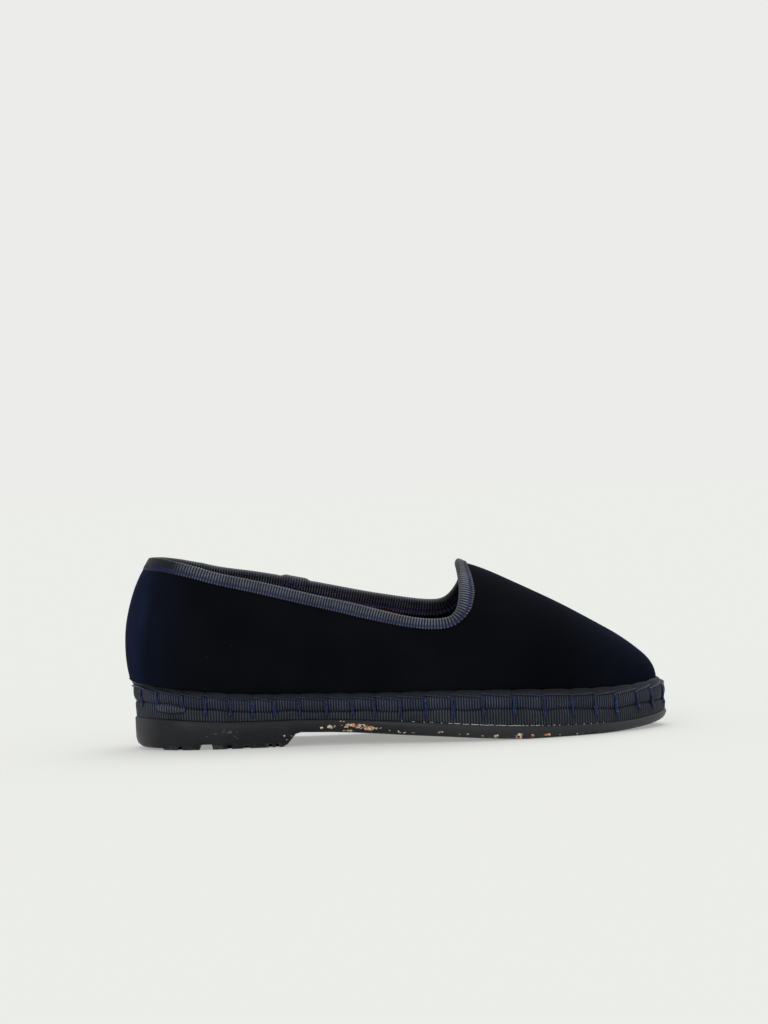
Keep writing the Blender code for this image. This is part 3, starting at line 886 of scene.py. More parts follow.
def threads(name, paths, radius, finish, sides=2):
    """Lengths of thread, each along its own path, as one mesh."""
    curve = bpy.data.curves.new(name, "CURVE")
    curve.dimensions = "3D"
    curve.bevel_depth = radius * MM
    curve.bevel_resolution = sides - 1
    curve.use_fill_caps = True
    for path in paths:
        spline_made = curve.splines.new("POLY")
        spline_made.points.add(len(path) - 1)
        flat = np.column_stack([to_row(path), np.ones(len(path))])
        spline_made.points.foreach_set("co", flat.reshape(-1))
    made = bpy.data.objects.new(name, curve)
    bpy.context.scene.collection.objects.link(made)
    only(made)
    bpy.ops.object.convert(target="MESH")
    made = bpy.context.object
    bpy.ops.object.shade_smooth()
    made.data.materials.clear()
    made.data.materials.append(finish)
    return made


def joined(pieces, name, finish):
    """Several meshes as one."""
    only(pieces[0])
    for piece in pieces:
        piece.select_set(True)
    bpy.ops.object.join()
    made = bpy.context.object
    made.name = name
    made.data.materials.append(finish)
    return made


def finished(made, slot, *nodes):
    """The piece rides on the shoe and stands for these solids, which it hides. Its slot is not used."""
    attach(made, "root")
    if nodes:
        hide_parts(*nodes)
    return made


def resample(loop, count):
    """A closed loop of rows, at this many even places round it."""
    flat = loop.reshape(len(loop), -1)
    flat = np.concatenate([flat, flat[:1]])
    middle = loop[:, loop.shape[1] // 2, :3]
    knots = chord_knots(np.concatenate([middle, middle[:1]]))
    places = np.linspace(0, knots[-1], count, endpoint=False)
    return spline(knots, flat, closed=True)(places).reshape(count, *loop.shape[1:])


def surface_normals(points):
    """Outward normals of a closed run of rows."""
    along = np.roll(points, -1, axis=0) - np.roll(points, 1, axis=0)
    up = np.gradient(points, axis=1)
    normals = np.cross(along, up)
    normals /= np.maximum(np.linalg.norm(normals, axis=2), 1e-9)[:, :, None]
    return normals


EDGE = SOLE.points
EDGE_RUN = chord_knots(np.vstack([EDGE, EDGE[:1]]))
AHEAD = np.roll(EDGE, -1, axis=0) - np.roll(EDGE, 1, axis=0)
INWARD = np.column_stack([-AHEAD[:, 1], AHEAD[:, 0]]) / np.linalg.norm(AHEAD, axis=1)[:, None]
OUTER_RUN = float(EDGE_RUN[int(np.argmax(EDGE[:, 0]))])


def stitch_runs():
    """Where each blanket stitch stands, in millimetres round the sole."""
    inner = np.arange(OUTER_STITCHES[-1] + INNER_STITCH_GAP, EDGE_RUN[-1] - 4.0, INNER_STITCH_GAP)
    scatter = random.Random(3)
    return np.array([*OUTER_STITCHES, *[run + scatter.uniform(-0.7, 0.7) for run in inner]])


STITCHES = stitch_runs()


def between_stitches(runs):
    """0 at a stitch and 1 half-way to the next."""
    ends = np.concatenate([[STITCHES[-1] - EDGE_RUN[-1]], STITCHES, [STITCHES[0] + EDGE_RUN[-1]]])
    cell = np.clip(np.searchsorted(ends, runs, side="right") - 1, 0, len(ends) - 2)
    share = (runs - ends[cell]) / (ends[cell + 1] - ends[cell])
    return np.sin(np.pi * np.clip(share, 0, 1)) ** 0.45


class Band:
    """The ribbon-covered side of a layer of the sole."""

    def __init__(self, profile, bottom, top, puff, lift):
        self.puff = puff
        self.lift = lift
        profile = np.array(profile)
        levels = np.linspace(0, 1, 15)
        smooth = spline(np.linspace(0, 1, len(profile)), profile)(levels)
        rings = []
        insets = np.array([foot_inset(along) for along in EDGE[:, 0]])
        for share, setback, roll in smooth:
            moves = (1 - roll) * (SIDE_SETBACK + setback) + roll * (insets - 0.4)
            flat = EDGE + INWARD * moves[:, None]
            low = np.array([bottom(along) for along in flat[:, 0]])
            high = np.array([top(along) for along in flat[:, 0]])
            rings.append(np.column_stack([flat, low + (high - low) * share]))
        self.rings = np.array(rings).transpose(1, 0, 2)
        self.shares = smooth[:, 0]

    def at(self, runs, shape=True):
        """Rows of points at these places round the sole, with the ribbon's puffs between the stitches."""
        runs = np.asarray(runs, float)
        flat = self.rings.reshape(len(EDGE), -1)
        flat = np.concatenate([flat, flat[:1]])
        rows = rows_at(runs, EDGE_RUN, flat).reshape(len(runs), -1, 3)
        if shape:
            swell = between_stitches(runs)[:, None]
            puffs = self.puff(self.shares)[None, :] * (swell - 0.5)
            rows[:, :, :2] += self.outward(runs)[:, None, :2] * puffs[:, :, None]
            rows[:, :, 2] += self.lift(self.shares)[None, :] * (swell - 0.6)
        return rows

    def outward(self, runs):
        """Level ways straight out from the sole's edge."""
        way = -rows_at(runs, EDGE_RUN, np.concatenate([INWARD, INWARD[:1]]))
        way /= np.linalg.norm(way, axis=1)[:, None]
        return np.column_stack([way, np.zeros(len(way))])


def ribbed(rows, strengths, levels_mask, rise=RIB_RISE):
    """Raises the ribs of rows, COLUMNS_PER_RIB rows to a rib. Also returns the marks of the ribs."""
    phase = np.arange(len(rows)) % COLUMNS_PER_RIB / COLUMNS_PER_RIB
    ridge = (0.5 - 0.5 * np.cos(2 * np.pi * phase)) ** 1.3
    strengths = np.broadcast_to(strengths, len(rows))
    height = ridge[:, None] * np.asarray(levels_mask)[None, :] * strengths[:, None]
    return rows + surface_normals(rows) * (height * rise)[:, :, None], height


def junction(along):
    """Height where the two ribbons of the sole meet: a line that wanders a little."""
    return midsole_top(along) + 0.3 * math.sin(along / 5.3) + 0.2 * math.sin(along / 2.9 + 1.0)


WELT_BAND = Band(
    (
        (0.0, 1.3, 0.1),
        (0.06, 0.3, 0.1),
        (0.35, -0.35, 0.12),
        (0.65, -0.1, 0.2),
        (0.8, 0.1, 0.4),
        (0.93, 0.3, 0.7),
        (1.0, 0.5, 1.0),
    ),
    lambda along: junction(along) + 0.05,
    lambda along: welt_top(along) + 0.2,
    puff=lambda share: 0.8 * np.sin(np.pi * ramp(share, 0.0, 0.8)) ** 0.7,
    lift=lambda share: 0.55 * ramp(share, 0.5, 1.0),
)
MIDSOLE_BAND = Band(
    (
        (0.0, 0.2, 0.0),
        (0.12, 0.0, 0.0),
        (0.5, -0.1, 0.0),
        (0.85, 0.1, 0.05),
        (1.0, 1.2, 0.1),
    ),
    lambda along: rubber_top(along) + 0.02,
    lambda along: junction(along) - 0.05,
    puff=lambda share: 0.35 * ramp(share, 0.3, 1.0),
    lift=lambda share: 0.25 * ramp(share, 0.5, 1.0),
)


def bar_depths():
    """How far down the lower ribbon each blanket stitch ends, as a share of its height."""
    scatter = random.Random(23)
    return np.array([scatter.uniform(0.4, 0.62) for _ in STITCHES])


DEPTHS = bar_depths()
THREAD_LEVEL = 0.72  # share of the upper ribbon's height where the thread runs along it
WELT_SEWN_FROM = 0.7  # above this share the welt's ribbon is drawn flat and dark
NOT_SEWN = 2.0  # for a band without such an edge


def thread_shade(runs, shares, low, high, hole):
    """Painted shade beside each blanket stitch between two levels, and in the hole at one level."""
    gaps = runs[:, None] - STITCHES[None, :]
    gaps = np.abs((gaps + EDGE_RUN[-1] / 2) % EDGE_RUN[-1] - EDGE_RUN[-1] / 2)
    nearest = np.argmin(gaps, axis=1)
    gap = gaps[np.arange(len(runs)), nearest][:, None]
    low, high, hole = (np.broadcast_to(value, len(STITCHES))[nearest][:, None] for value in (low, high, hole))
    level = shares[None, :]
    inside = ramp(level, low, low + 0.06) * ramp(level, high, high - 0.06)
    beside = 0.6 * np.exp(-(((gap - 1.0) / 0.4) ** 2)) * inside
    end = np.exp(-((gap / 1.0) ** 2)) * np.exp(-(((level - hole) / 0.08) ** 2))
    return np.maximum(beside, end)


def band_piece(name, band, finish, node, inner_step, rib_width, sewn_from, shade):
    """A band of ribbon round the sole, closed behind by a plain wall."""
    ribs = round(EDGE_RUN[-1] / rib_width)
    runs = np.arange(ribs * COLUMNS_PER_RIB) * EDGE_RUN[-1] / (ribs * COLUMNS_PER_RIB)
    rows = band.at(runs)
    sewn_part = ramp(band.shares, sewn_from, sewn_from + 0.05)
    mask = 1 - 0.7 * sewn_part
    mask[0] = 0.5
    rows, rib = ribbed(rows, 1.0, mask)
    sewn = np.broadcast_to(sewn_part, rib.shape)
    dark = thread_shade(runs, band.shares, *shade)
    # Painted shade over the top roll of the welt's ribbon, which faces up into the overhead light
    if sewn_from < 1:
        dark = np.maximum(dark, 0.85 * ramp(band.shares, 0.82, 0.94))
    inward = -band.outward(runs)[:, None] * inner_step
    rows = np.concatenate([rows, rows[:, [-1, 0]] + inward], axis=1)
    plain = np.zeros((len(rows), 2))
    marks = {key: np.hstack([value, plain]) for key, value in (("rib", rib), ("sewn", sewn), ("shade", dark))}
    made = cloth_grid(name, rows, finish, closed_across=True, marks=marks)
    return finished(made, "navy_ribbon", node)


def outer_run(along):
    """Millimetres round the sole to this place on its outer side."""
    return float(np.interp(along, SOLE.outer[:, 0], EDGE_RUN[: len(SOLE.outer)]))


def make_fold(finish):
    """A short fold of ribbon that shows below the upper ribbon at the heel."""
    start, end = (outer_run(along) for along in FOLD_SPAN)
    runs = np.arange(start, end, RIB / COLUMNS_PER_RIB)
    across = np.linspace(0, 1, 9)
    rows = []
    for run, share in zip(runs, np.linspace(0, 1, len(runs))):
        low = np.interp(share, (0.0, 0.25, 0.5, 0.75, 1.0), (0.52, 0.45, 0.44, 0.52, 0.74))
        out = MIDSOLE_BAND.outward([run])
        swell = 0.25 + 0.5 * np.sin(np.pi * across) ** 0.6 * math.sin(math.pi * share) ** 0.4
        rows.append(along_band(MIDSOLE_BAND, run, 0.99 - (0.99 - low) * across) + out * swell[:, None])
    phase = 0.5 - 0.5 * np.cos(2 * np.pi * np.arange(len(runs)) / COLUMNS_PER_RIB)
    rib = phase[:, None] * ramp(across, 0.93, 0.88)[None, :]
    # Painted shade along the fold's lower edge
    dark = np.broadcast_to(ramp(across, 0.85, 0.95), rib.shape)
    marks = {"rib": rib, "sewn": np.zeros(rib.shape), "shade": dark}
    made = cloth_grid("ribbon_fold", np.array(rows), finish, marks=marks, closed_round=False)
    thicken(made, 0.4, offset=1.0)
    return finished(made, "navy_ribbon")


def fine_rows(per_side, levels):
    """The face of the upper as close rows of points, and the collar's run of each row as a share."""
    shares = np.linspace(0, 1, per_side + 1)
    collar_shares = spline([row[1] for row in ROW_ENDS], [row[2] for row in ROW_ENDS])(shares)[:, 0]
    collar = collar_halves(FINE_COLLAR_SAMPLES)
    feet = {}
    tops = {}
    for side in (-1, 1):
        flat = FOOT.by_share(side, shares)
        feet[side] = np.column_stack([flat, [foot_height(along) for along in flat[:, 0]]])
        tops[side] = by_share(collar[side], collar_shares)
    feet = round_the_shoe(feet)
    tops = round_the_shoe(tops)
    rows = []
    for foot, top in zip(feet, tops):
        crowd = float(np.interp(np.linalg.norm(top - foot), (70.0, 130.0), (1.1, 1.6)))
        places = [foot + (top - foot) * share**crowd for share in np.linspace(0, 1, levels)]
        rows.append([foot, *[LAST.onto(place) for place in places[1:-1]], top])
    collar_shares = np.concatenate([collar_shares, collar_shares[::-1][1:-1]])
    return np.array(rows), collar_shares


def seam_distance(points):
    """Millimetres round the heel from its seam. Below 0 is the side piece, and above it the back piece."""
    flat = points[..., :2] - LAST.pivot
    degrees = np.degrees(np.arctan2(-flat[..., 0], np.abs(flat[..., 1])))
    heights, places = zip(*BACK_SEAM)
    return (degrees - np.interp(points[..., 2], heights, places)) * math.radians(HEEL_PIVOT)


def velvet_relief(points):
    """How far the velvet stands off the last: its seams, its soft waves and the gathers over the welt."""
    along, across, height = np.moveaxis(points, -1, 0)
    seam = seam_distance(points)
    relief = -0.25 * np.exp(-((seam / 0.7) ** 2)) + 0.05 * np.exp(-(((np.abs(seam) - 1.9) / 1.3) ** 2))
    relief += 0.16 * np.sin(along / 15.0 + 1.3) * np.sin(height / 11.0 + across / 23.0)
    relief += 0.08 * np.sin(along / 6.3 + height / 8.1) * np.sin(height / 7.0 + 0.5)
    foot = np.array([foot_height(place) for place in along[:, 0]])[:, None]
    rise = height - foot
    relief += 0.16 * np.sin(along / 2.0 + across / 3.1) * np.exp(-rise / 4.0) * ramp(rise, 0.0, 1.5)
    top = height[:, -1:]
    return relief * np.clip((np.abs(top - height) + 1.0) / 7.0, 0, 1)


FINE_ROWS, COLLAR_SHARES = fine_rows(FINE_ROWS_PER_SIDE, FINE_ROW_LEVELS)


def make_upper(velvet, lining):
    """The velvet and its lining, each a thin shell of its own."""
    normals = surface_normals(FINE_ROWS)
    skin = FINE_ROWS + normals * velvet_relief(FINE_ROWS)[:, :, None]
    along, _, height = np.moveaxis(FINE_ROWS, -1, 0)
    seam = seam_distance(FINE_ROWS)
    # Painted sheen mask: the back piece, whose pile runs the other way, a stripe of sheen on the side piece
    # beside the seam, and the toe, more towards its top
    back = np.clip(0.3 + seam / 11.0, 0, 1) * (seam > 0)
    beside = 0.35 * ramp(seam, -26.0, 0.0) ** 1.5
    toe = ramp(along, 205.0, 245.0) * (0.25 + 0.25 * ramp(height, 30.0, 50.0))
    nap_sheen = np.maximum(np.maximum(back, beside), toe)
    outer = cloth_grid("velvet_upper", skin, velvet, marks={"nap_sheen": nap_sheen})
    thicken(outer, WALL / 2)
    finished(outer, "navy_velvet", "upper")
    inside = (FINE_ROWS - normals * (WALL / 2 + 0.15))[::2, ::2]
    inner = cloth_grid("lining_cloth", inside, lining)
    thicken(inner, WALL / 2 - 0.2)
    finished(inner, "crimson_lining")


class Collar:
    """The edge of the wall, with the velvet's face and its slope at a few steps down from it."""

    STEP = 1.8
    STEPS = 7

    def __init__(self):
        every = FINE_ROWS[::2]
        self.edge = every[:, -1]
        self.shares = COLLAR_SHARES[::2]
        self.faces = np.zeros((len(every), self.STEPS, 3))
        self.normals = np.zeros_like(self.faces)
        self.downs = np.zeros_like(self.edge)
        for i, point in enumerate(self.edge):
            along = self.edge[(i + 1) % len(self.edge)] - self.edge[i - 1]
            along /= np.linalg.norm(along)
            down = np.cross(LAST.normal(point, along), along)
            down *= np.sign(down @ (every[i, -3] - point))
            self.downs[i] = down
            for j in range(self.STEPS):
                self.faces[i, j] = LAST.onto(point + down * self.STEP * j)
                self.normals[i, j] = LAST.normal(self.faces[i, j], along)
        self.outer_flap = np.interp(self.shares, *zip(*OUTER_FLAP))
        self.inner_flap = np.interp(self.shares, *zip(*INNER_FLAP))
        self.bulk = np.interp(self.shares, (0.0, 0.05, 0.13), (0.5, 0.6, 1.0))
        self.inner_side = np.arange(len(every)) > len(every) / 2
        start, end = RIBBON_JOIN
        join = ramp(np.minimum(self.shares - start, end - self.shares), 0.0, 0.008) * self.inner_side
        self.bulk += 0.7 * join
        self.length = chord_knots(np.vstack([self.edge, self.edge[:1]]))[-1]

    def at(self, out, reach):
        """A point of every row, this far off the face and this far down from the edge."""
        reach = np.broadcast_to(np.asarray(reach, float), len(self.edge))
        step = np.clip(reach / self.STEP, 0, self.STEPS - 1.001)
        low = step.astype(int)
        share = (step - low)[:, None]
        rows = np.arange(len(self.edge))
        face = self.faces[rows, low] * (1 - share) + self.faces[rows, low + 1] * share
        normal = self.normals[rows, low] * (1 - share) + self.normals[rows, low + 1] * share
        beyond = np.minimum(reach, 0)[:, None]
        out = np.broadcast_to(np.asarray(out, float), len(rows))[:, None]
        return face + self.downs * beyond + normal * out


COLLAR = Collar()


def binding_corners():
    """The ribbon's section: up the outer face, over the edge and down the inside, then back under itself.

    Each corner has its place in the wall's thickness, how far it stands off it, its reach, its ribs,
    its part in the sewn line and its shade."""
    flap = COLLAR.outer_flap
    corners = []
    for share, out, rib, sewn in (
        (1.0, 0.25, 0.3, 0.0),
        (0.985, 0.6, 0.8, 0.0),
        (0.93, 0.75, 0.9, 0.0),
        (0.86, 0.65, 0.85, 0.4),
        (0.79, 0.45, 0.7, 1.0),
        (0.7, 0.4, 0.65, 1.0),
        (0.62, 0.6, 0.8, 0.8),
        (0.55, 0.95, 0.95, 0.0),
        (0.4, 1.05, 1.0, 0.0),
        (0.25, 1.1, 1.0, 0.0),
        (0.1, 1.15, 1.0, 0.0),
    ):
        corners.append((0.0, out, flap * share, rib, sewn, 0.0))
    for turn in np.radians(np.linspace(0, 180, 9)):
        middle = WALL / 2 * (math.cos(turn) - 1)
        reach = -(0.2 + 1.15 * COLLAR.bulk) * math.sin(turn)
        corners.append((middle, 1.15 * math.cos(turn), reach, 0.9, 0.0, 0.0))
    inner = COLLAR.inner_flap
    ribbed_part = np.minimum(inner, INNER_RIBS_END)
    for share, out, rib, sewn in (
        (0.2, 1.1, 0.9, 0.0),
        (0.4, 1.05, 0.9, 0.0),
        (0.56, 1.0, 0.9, 0.0),
        (0.62, 0.7, 0.7, 0.8),
        (0.7, 0.55, 0.65, 1.0),
        (0.78, 0.7, 0.7, 0.6),
        (0.86, 0.9, 0.8, 0.0),
        (0.97, 0.8, 0.8, 0.0),
    ):
        corners.append((-WALL, -out, ribbed_part * share, rib, sewn, 0.0))
    # Painted deep shade on the ribbon inside the throat, below where its ribs end
    painted_throat_shade = ramp(inner, INNER_RIBS_END, INNER_RIBS_END + 0.5)
    corners.append((-WALL, -0.7, ribbed_part * 0.99 + 0.1 * painted_throat_shade, 0.4, 0.0, painted_throat_shade))
    corners.append((-WALL, -0.5, (ribbed_part + inner) / 2, 0.3, 0.0, painted_throat_shade))
    corners.append((-WALL, -0.3, inner * 1.005, 0.3, 0.0, painted_throat_shade))
    for share in (0.97, 0.5, 0.1):
        corners.append((-WALL, -0.05, inner * share, 0.0, 0.0, 0.0))
    corners.append((-WALL, -0.05, -0.1, 0.0, 0.0, 0.0))
    corners.append((0.0, 0.05, -0.1, 0.0, 0.0, 0.0))
    for share in (0.1, 0.5, 0.97):
        corners.append((0.0, 0.05, flap * share, 0.0, 0.0, 0.0))
    return corners


def make_binding(finish):
    """The ribbed ribbon folded over the collar."""
    corners = binding_corners()
    creased = COLLAR.inner_side * ramp(COLLAR.shares, 0.77, 0.82)
    strength = rib_strength(COLLAR.shares) * (1 - 0.45 * creased)
    columns = []
    for middle, out, reach, _, _, shade in corners:
        points = COLLAR.at(middle + out * COLLAR.bulk, reach)
        # Painted shade on the inner side's fold over the edge
        over = ramp(reach, 1.5, 0.0)
        shades = np.maximum(shade, FAR_SHADE * COLLAR.inner_side * over)
        columns.append(np.column_stack([points, strength, shades]))
    ribs = round(COLLAR.length / RIB)
    fine = resample(np.stack(columns, axis=1), ribs * COLUMNS_PER_RIB)
    mask = [corner[3] for corner in corners]
    rows, rib = ribbed(fine[:, :, :3], fine[:, 0, 3], mask, rise=COLLAR_RIB_RISE)
    sewn = np.broadcast_to([corner[4] for corner in corners], rib.shape)
    marks = {"rib": rib, "sewn": sewn, "shade": np.clip(fine[:, :, 4], 0, 1)}
    made = cloth_grid("collar_ribbon", rows, finish, closed_across=True, marks=marks)
    return finished(made, "navy_ribbon", "collar_binding")


def rib_strength(shares):
    """The ribs flatten where the ribbon is stretched: at the very back and at the peak of the throat."""
    back = ramp(shares, 0.105, 0.135)
    peak = ramp(shares, 0.96, 0.88)
    return 0.12 + 0.88 * np.minimum(back, peak)


def along_band(band, run, levels, shape=True):
    """Points of a band at one place round the sole, at these levels of its profile."""
    return rows_at(levels, band.shares, band.at([run], shape)[0])


# How far a bar leans and how the strand beside it slopes: places round the sole, then values
STITCH_LEAN = ((0.0, 235.0, 262.0, OUTER_RUN), (0.1, 0.3, 1.8, 2.4))
STRAND_SLOPE = ((0.0, 190.0, 230.0, OUTER_RUN), (-0.15, -0.13, 0.1, 0.16))


def make_stitches(finish, top_finish):
    """Blanket stitches: a bar of two strands over both bands, and a strand along the top to the next bar."""
    scatter = random.Random(11)
    bars = []
    across = []
    for i, run in enumerate(STITCHES):
        lean = np.interp(run, *STITCH_LEAN) + scatter.uniform(-0.3, 0.4)
        bow = scatter.uniform(-0.3, 0.3)
        upper = along_band(WELT_BAND, run, np.linspace(THREAD_LEVEL + 0.02, 0.06, 9))
        lower = along_band(MIDSOLE_BAND, run, np.linspace(0.92, DEPTHS[i], 4))
        path = np.vstack([upper, lower])
        out = WELT_BAND.outward([run])[0]
        side = np.array([-out[1], out[0], 0.0])
        drop = np.linspace(0, 1, len(path))
        lift = THREAD * 1.1 + 0.35 * np.sin(np.pi * drop)
        lift[-1] = -0.7
        lift[0] = -0.3
        drift = lean * (drop - 0.3) + bow * np.sin(np.pi * drop)
        start = scatter.uniform(0.0, math.pi)
        for strand in (0, 1):
            turn = drop * 1.3 * math.pi + start + strand * math.pi
            wobble = np.cos(turn)[:, None] * side * THREAD + np.sin(turn)[:, None] * out * 0.2
            bars.append(path + out * lift[:, None] + side * drift[:, None] + wobble)
        length = (STITCHES[(i + 1) % len(STITCHES)] - run) % EDGE_RUN[-1]
        slope = np.interp(run, *STRAND_SLOPE) + scatter.uniform(-0.05, 0.05)
        points = []
        for share in np.linspace(-0.05, 1.02, 12):
            place = (run + share * length) % EDGE_RUN[-1]
            level = THREAD_LEVEL + slope * (share - 0.5)
            away = 0.3 + 0.45 * math.sin(math.pi * min(max(share, 0), 1))
            spot = along_band(WELT_BAND, place, [level], shape=False)[0]
            points.append(spot + WELT_BAND.outward([place])[0] * away)
        across.append(points)
    finished(threads("stitch_bars", bars, THREAD, finish), "navy_ribbon")
    finished(threads("stitch_top_thread", across, THREAD * 1.1, top_finish), "navy_ribbon")


def make_sewing(finish):
    """The machine's zigzag that holds the ribbon to the collar, outside and inside."""
    outer = COLLAR.outer_flap
    inner = np.minimum(COLLAR.inner_flap, INNER_RIBS_END)
    paths = []
    for middle, out, edges in (
        (0.0, 0.72, (outer * 0.62, outer * 0.84)),
        (-WALL, -0.78, (inner * 0.62, inner * 0.8)),
    ):
        lines = np.stack([COLLAR.at(middle + out * COLLAR.bulk, reach) for reach in edges], axis=1)
        count = 2 * round(COLLAR.length / SEWING_PITCH)
        fine = resample(lines, count)
        path = fine[np.arange(count), np.arange(count) % 2]
        paths.append(np.vstack([path, path[:1]]))
    return finished(threads("collar_sewing", paths, SEWING_THREAD, finish, sides=1), "navy_ribbon")


def make_loose_threads(finish):
    """A few ends of thread over the join of the collar's ribbon."""
    scatter = random.Random(17)
    reaches = np.linspace(-1.2, 4.5, 8)
    lines = [COLLAR.at(-WALL - 2.0, reach) for reach in reaches]
    first, last = RIBBON_JOIN
    join = np.flatnonzero(COLLAR.inner_side & (COLLAR.shares > first) & (COLLAR.shares < last))
    paths = []
    for _ in range(9):
        place = scatter.uniform(0, len(join) - 1)
        drift = scatter.uniform(-0.8, 0.8)
        start = scatter.randrange(0, 4)
        path = []
        for step, line in enumerate(lines[start : start + scatter.randrange(3, 6)]):
            row = join[int(min(max(place + drift * step, 0), len(join) - 1))]
            path.append(line[row] + [scatter.uniform(-0.3, 0.3), scatter.uniform(-0.2, 0.2), 0.0])
        paths.append(path)
    return finished(threads("loose_threads", paths, LOOSE_THREAD, finish, sides=1), "navy_ribbon")


def make_glue(finish):
    """A broken bead of glue along the rubber's top edge, on the outer side of the forefoot."""
    scatter = random.Random(5)
    beads = []
    start, end = (outer_run(along) for along in GLUE_SPAN)
    run = start
    while run < end:
        thick = 0.2 < (run - start) / (end - start) < 0.65
        length = scatter.uniform(1.0, 9.0) if thick else scatter.uniform(0.4, 1.3)
        points = []
        for place in np.arange(run, run + max(length, 1.0), 0.5):
            flat, inward = (rows_at([place], EDGE_RUN[:-1], table)[0] for table in (EDGE, INWARD))
            spot = flat + inward * 0.5
            points.append([*spot, rubber_top(spot[0]) + 0.05 + scatter.uniform(-0.12, 0.15)])
        beads.append(points)
        run += length + scatter.uniform(0.2, 0.8 if thick else 4.5)
    return finished(threads("glue_bead", beads, GLUE_BEAD, finish, sides=1), "black_rubber")


def flakes(scatter):
    """Each torn place as a few ragged flakes that lie close together."""
    small = []
    for along, height, half_length, half_height, orange in CHIPS:
        count = max(2, round(half_length * half_height * 5))
        for _ in range(count):
            angle = scatter.uniform(0, 2 * math.pi)
            away = scatter.uniform(0, 0.85)
            size = scatter.uniform(0.3, 0.65) * min(half_length, half_height * 1.4)
            small.append((
                along + math.cos(angle) * away * half_length,
                height + math.sin(angle) * away * half_height * 0.8,
                size * scatter.uniform(0.9, 1.5),
                size * scatter.uniform(0.5, 0.9),
                orange,
            ))
    return small


def make_chips(finish):
    """Flakes of the rubber's light core, where its black skin is torn."""
    scatter = random.Random(29)
    sole = frame["nodes"]["outsole"]
    pieces = []
    for along, height, half_length, half_height, orange in flakes(scatter):
        start = Vector(((along - ORIGIN_ALONG) * MM, -0.2, height * MM))
        hit, spot, normal, _ = sole.ray_cast(start, Vector((0.0, 1.0, 0.0)))
        if not hit:
            continue
        bpy.ops.object.select_all(action="DESELECT")
        bpy.ops.mesh.primitive_ico_sphere_add(subdivisions=2, radius=1.0)
        made = bpy.context.object
        level = Vector((-normal.y, normal.x, 0.0)).normalized()
        upright = normal.cross(level)
        turns = [scatter.uniform(0.0, 6.28) for _ in range(3)]
        for vertex in made.data.vertices:
            x, y, z = vertex.co
            angle = math.atan2(y, x)
            ragged = 1 + 0.2 * math.sin(2 * angle + turns[0]) + 0.16 * math.sin(5 * angle + turns[1])
            ragged += 0.12 * math.sin(9 * angle + turns[2]) + scatter.uniform(-0.05, 0.05)
            depth = z * (0.22 + scatter.uniform(-0.05, 0.08))
            flat = level * x * half_length * ragged + upright * y * half_height * ragged
            vertex.co = spot + (flat + normal * depth) * MM
        layer = made.data.attributes.new("orange", "FLOAT", "POINT")
        layer.data.foreach_set("value", [orange] * len(made.data.vertices))
        pieces.append(made)
    made = joined(pieces, "torn_rubber", finish)
    bpy.ops.object.shade_smooth()
    return finished(made, "black_rubber")


def make_heel_webs(finish):
    """Rubber that closes the middle of the heel's blind grooves, near black as painted shade of their depth.
    The notch is open from side to side.
    """
    webs = []
    for along, width, depth in HEEL_WEBS:
        bpy.ops.object.select_all(action="DESELECT")
        bpy.ops.mesh.primitive_cube_add(size=1.0)
        made = bpy.context.object
        near, far = (float(np.interp(along, side[:, 0], side[:, 1])) for side in (SOLE.outer, SOLE.inner))
        for vertex in made.data.vertices:
            x, y, z = vertex.co
            across = (near + far) / 2 + y * (far - near - 2 * WEB_INSET)
            vertex.co = to_row([along + x * width, across, 0.1 + (z + 0.5) * depth])
        webs.append(made)
    return finished(joined(webs, "heel_webs", finish), "black_rubber")


def smooth_copy(node, name, finish, slot, sharp):
    """A copy of one of the shoe's solids with its soft corners shaded smoothly."""
    only(frame["nodes"][node])
    bpy.ops.object.duplicate()
    made = bpy.context.object
    made.name = name
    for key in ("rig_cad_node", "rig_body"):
        del made[key]
    made.parent = None
    bpy.ops.object.mode_set(mode="EDIT")
    bpy.ops.mesh.select_all(action="SELECT")
    bpy.ops.mesh.remove_doubles(threshold=WELD)
    bpy.ops.object.mode_set(mode="OBJECT")
    made.data.materials.clear()
    made.data.materials.append(finish)
    bpy.ops.object.shade_smooth_by_angle(angle=math.radians(sharp))
    return finished(made, slot, node)


PALE = srgb(236, 237, 234)
# Strength of the floor's own glow: painted light that pales the shoe's shadow
FLOOR_GLOW = 0.384
FLOOR_SHADE = 0.45
OVERHEAD = 1.6
FRONT = 0.5


def make_studio():
    """A pale floor that fades into an even pale surround, a soft light overhead and a weak one in front.

    The floor glows a little, painted light that keeps the shoe's shadow pale."""
    floor_colour = Material("pale_floor", Roughness=1.0, Specular_IOR_Level=0.0, Emission_Strength=FLOOR_GLOW)
    floor_colour.feed(Base_Color=dimmed(PALE, FLOOR_SHADE), Emission_Color=PALE)
    bpy.ops.object.select_all(action="DESELECT")
    bpy.ops.mesh.primitive_grid_add(x_subdivisions=8, y_subdivisions=8, size=120.0)
    floor = bpy.context.object
    floor.name = "studio_floor"
    floor.data.materials.append(floor_colour.made)
    world = bpy.data.worlds.new("studio")
    world.use_nodes = True
    surround = world.node_tree.nodes["Background"]
    surround.inputs["Color"].default_value = (*PALE, 1.0)
    surround.inputs["Strength"].default_value = 1.0
    bpy.context.scene.world = world
    lamp("overhead_light", (0.15, 0.45, 1.0), OVERHEAD, 50.0)
    lamp("front_light", (-0.5, -1.0, 0.55), FRONT, 20.0)


def lamp(name, way, strength, spread):
    """A wide soft light from one way."""
    light = bpy.data.lights.new(name, "SUN")
    light.energy = strength
    light.angle = math.radians(spread)
    made = bpy.data.objects.new(name, light)
    bpy.context.scene.collection.objects.link(made)
    made.rotation_euler = (-Vector(way)).to_track_quat("-Z", "Y").to_euler()


CAMERA_AZIMUTH = -1.5
CAMERA_ELEVATION = 0.5
CAMERA_ROLL = 2.33
CAMERA_DISTANCE = 1.363
CAMERA_TARGET = (-0.00304, 0.0, 0.10791)


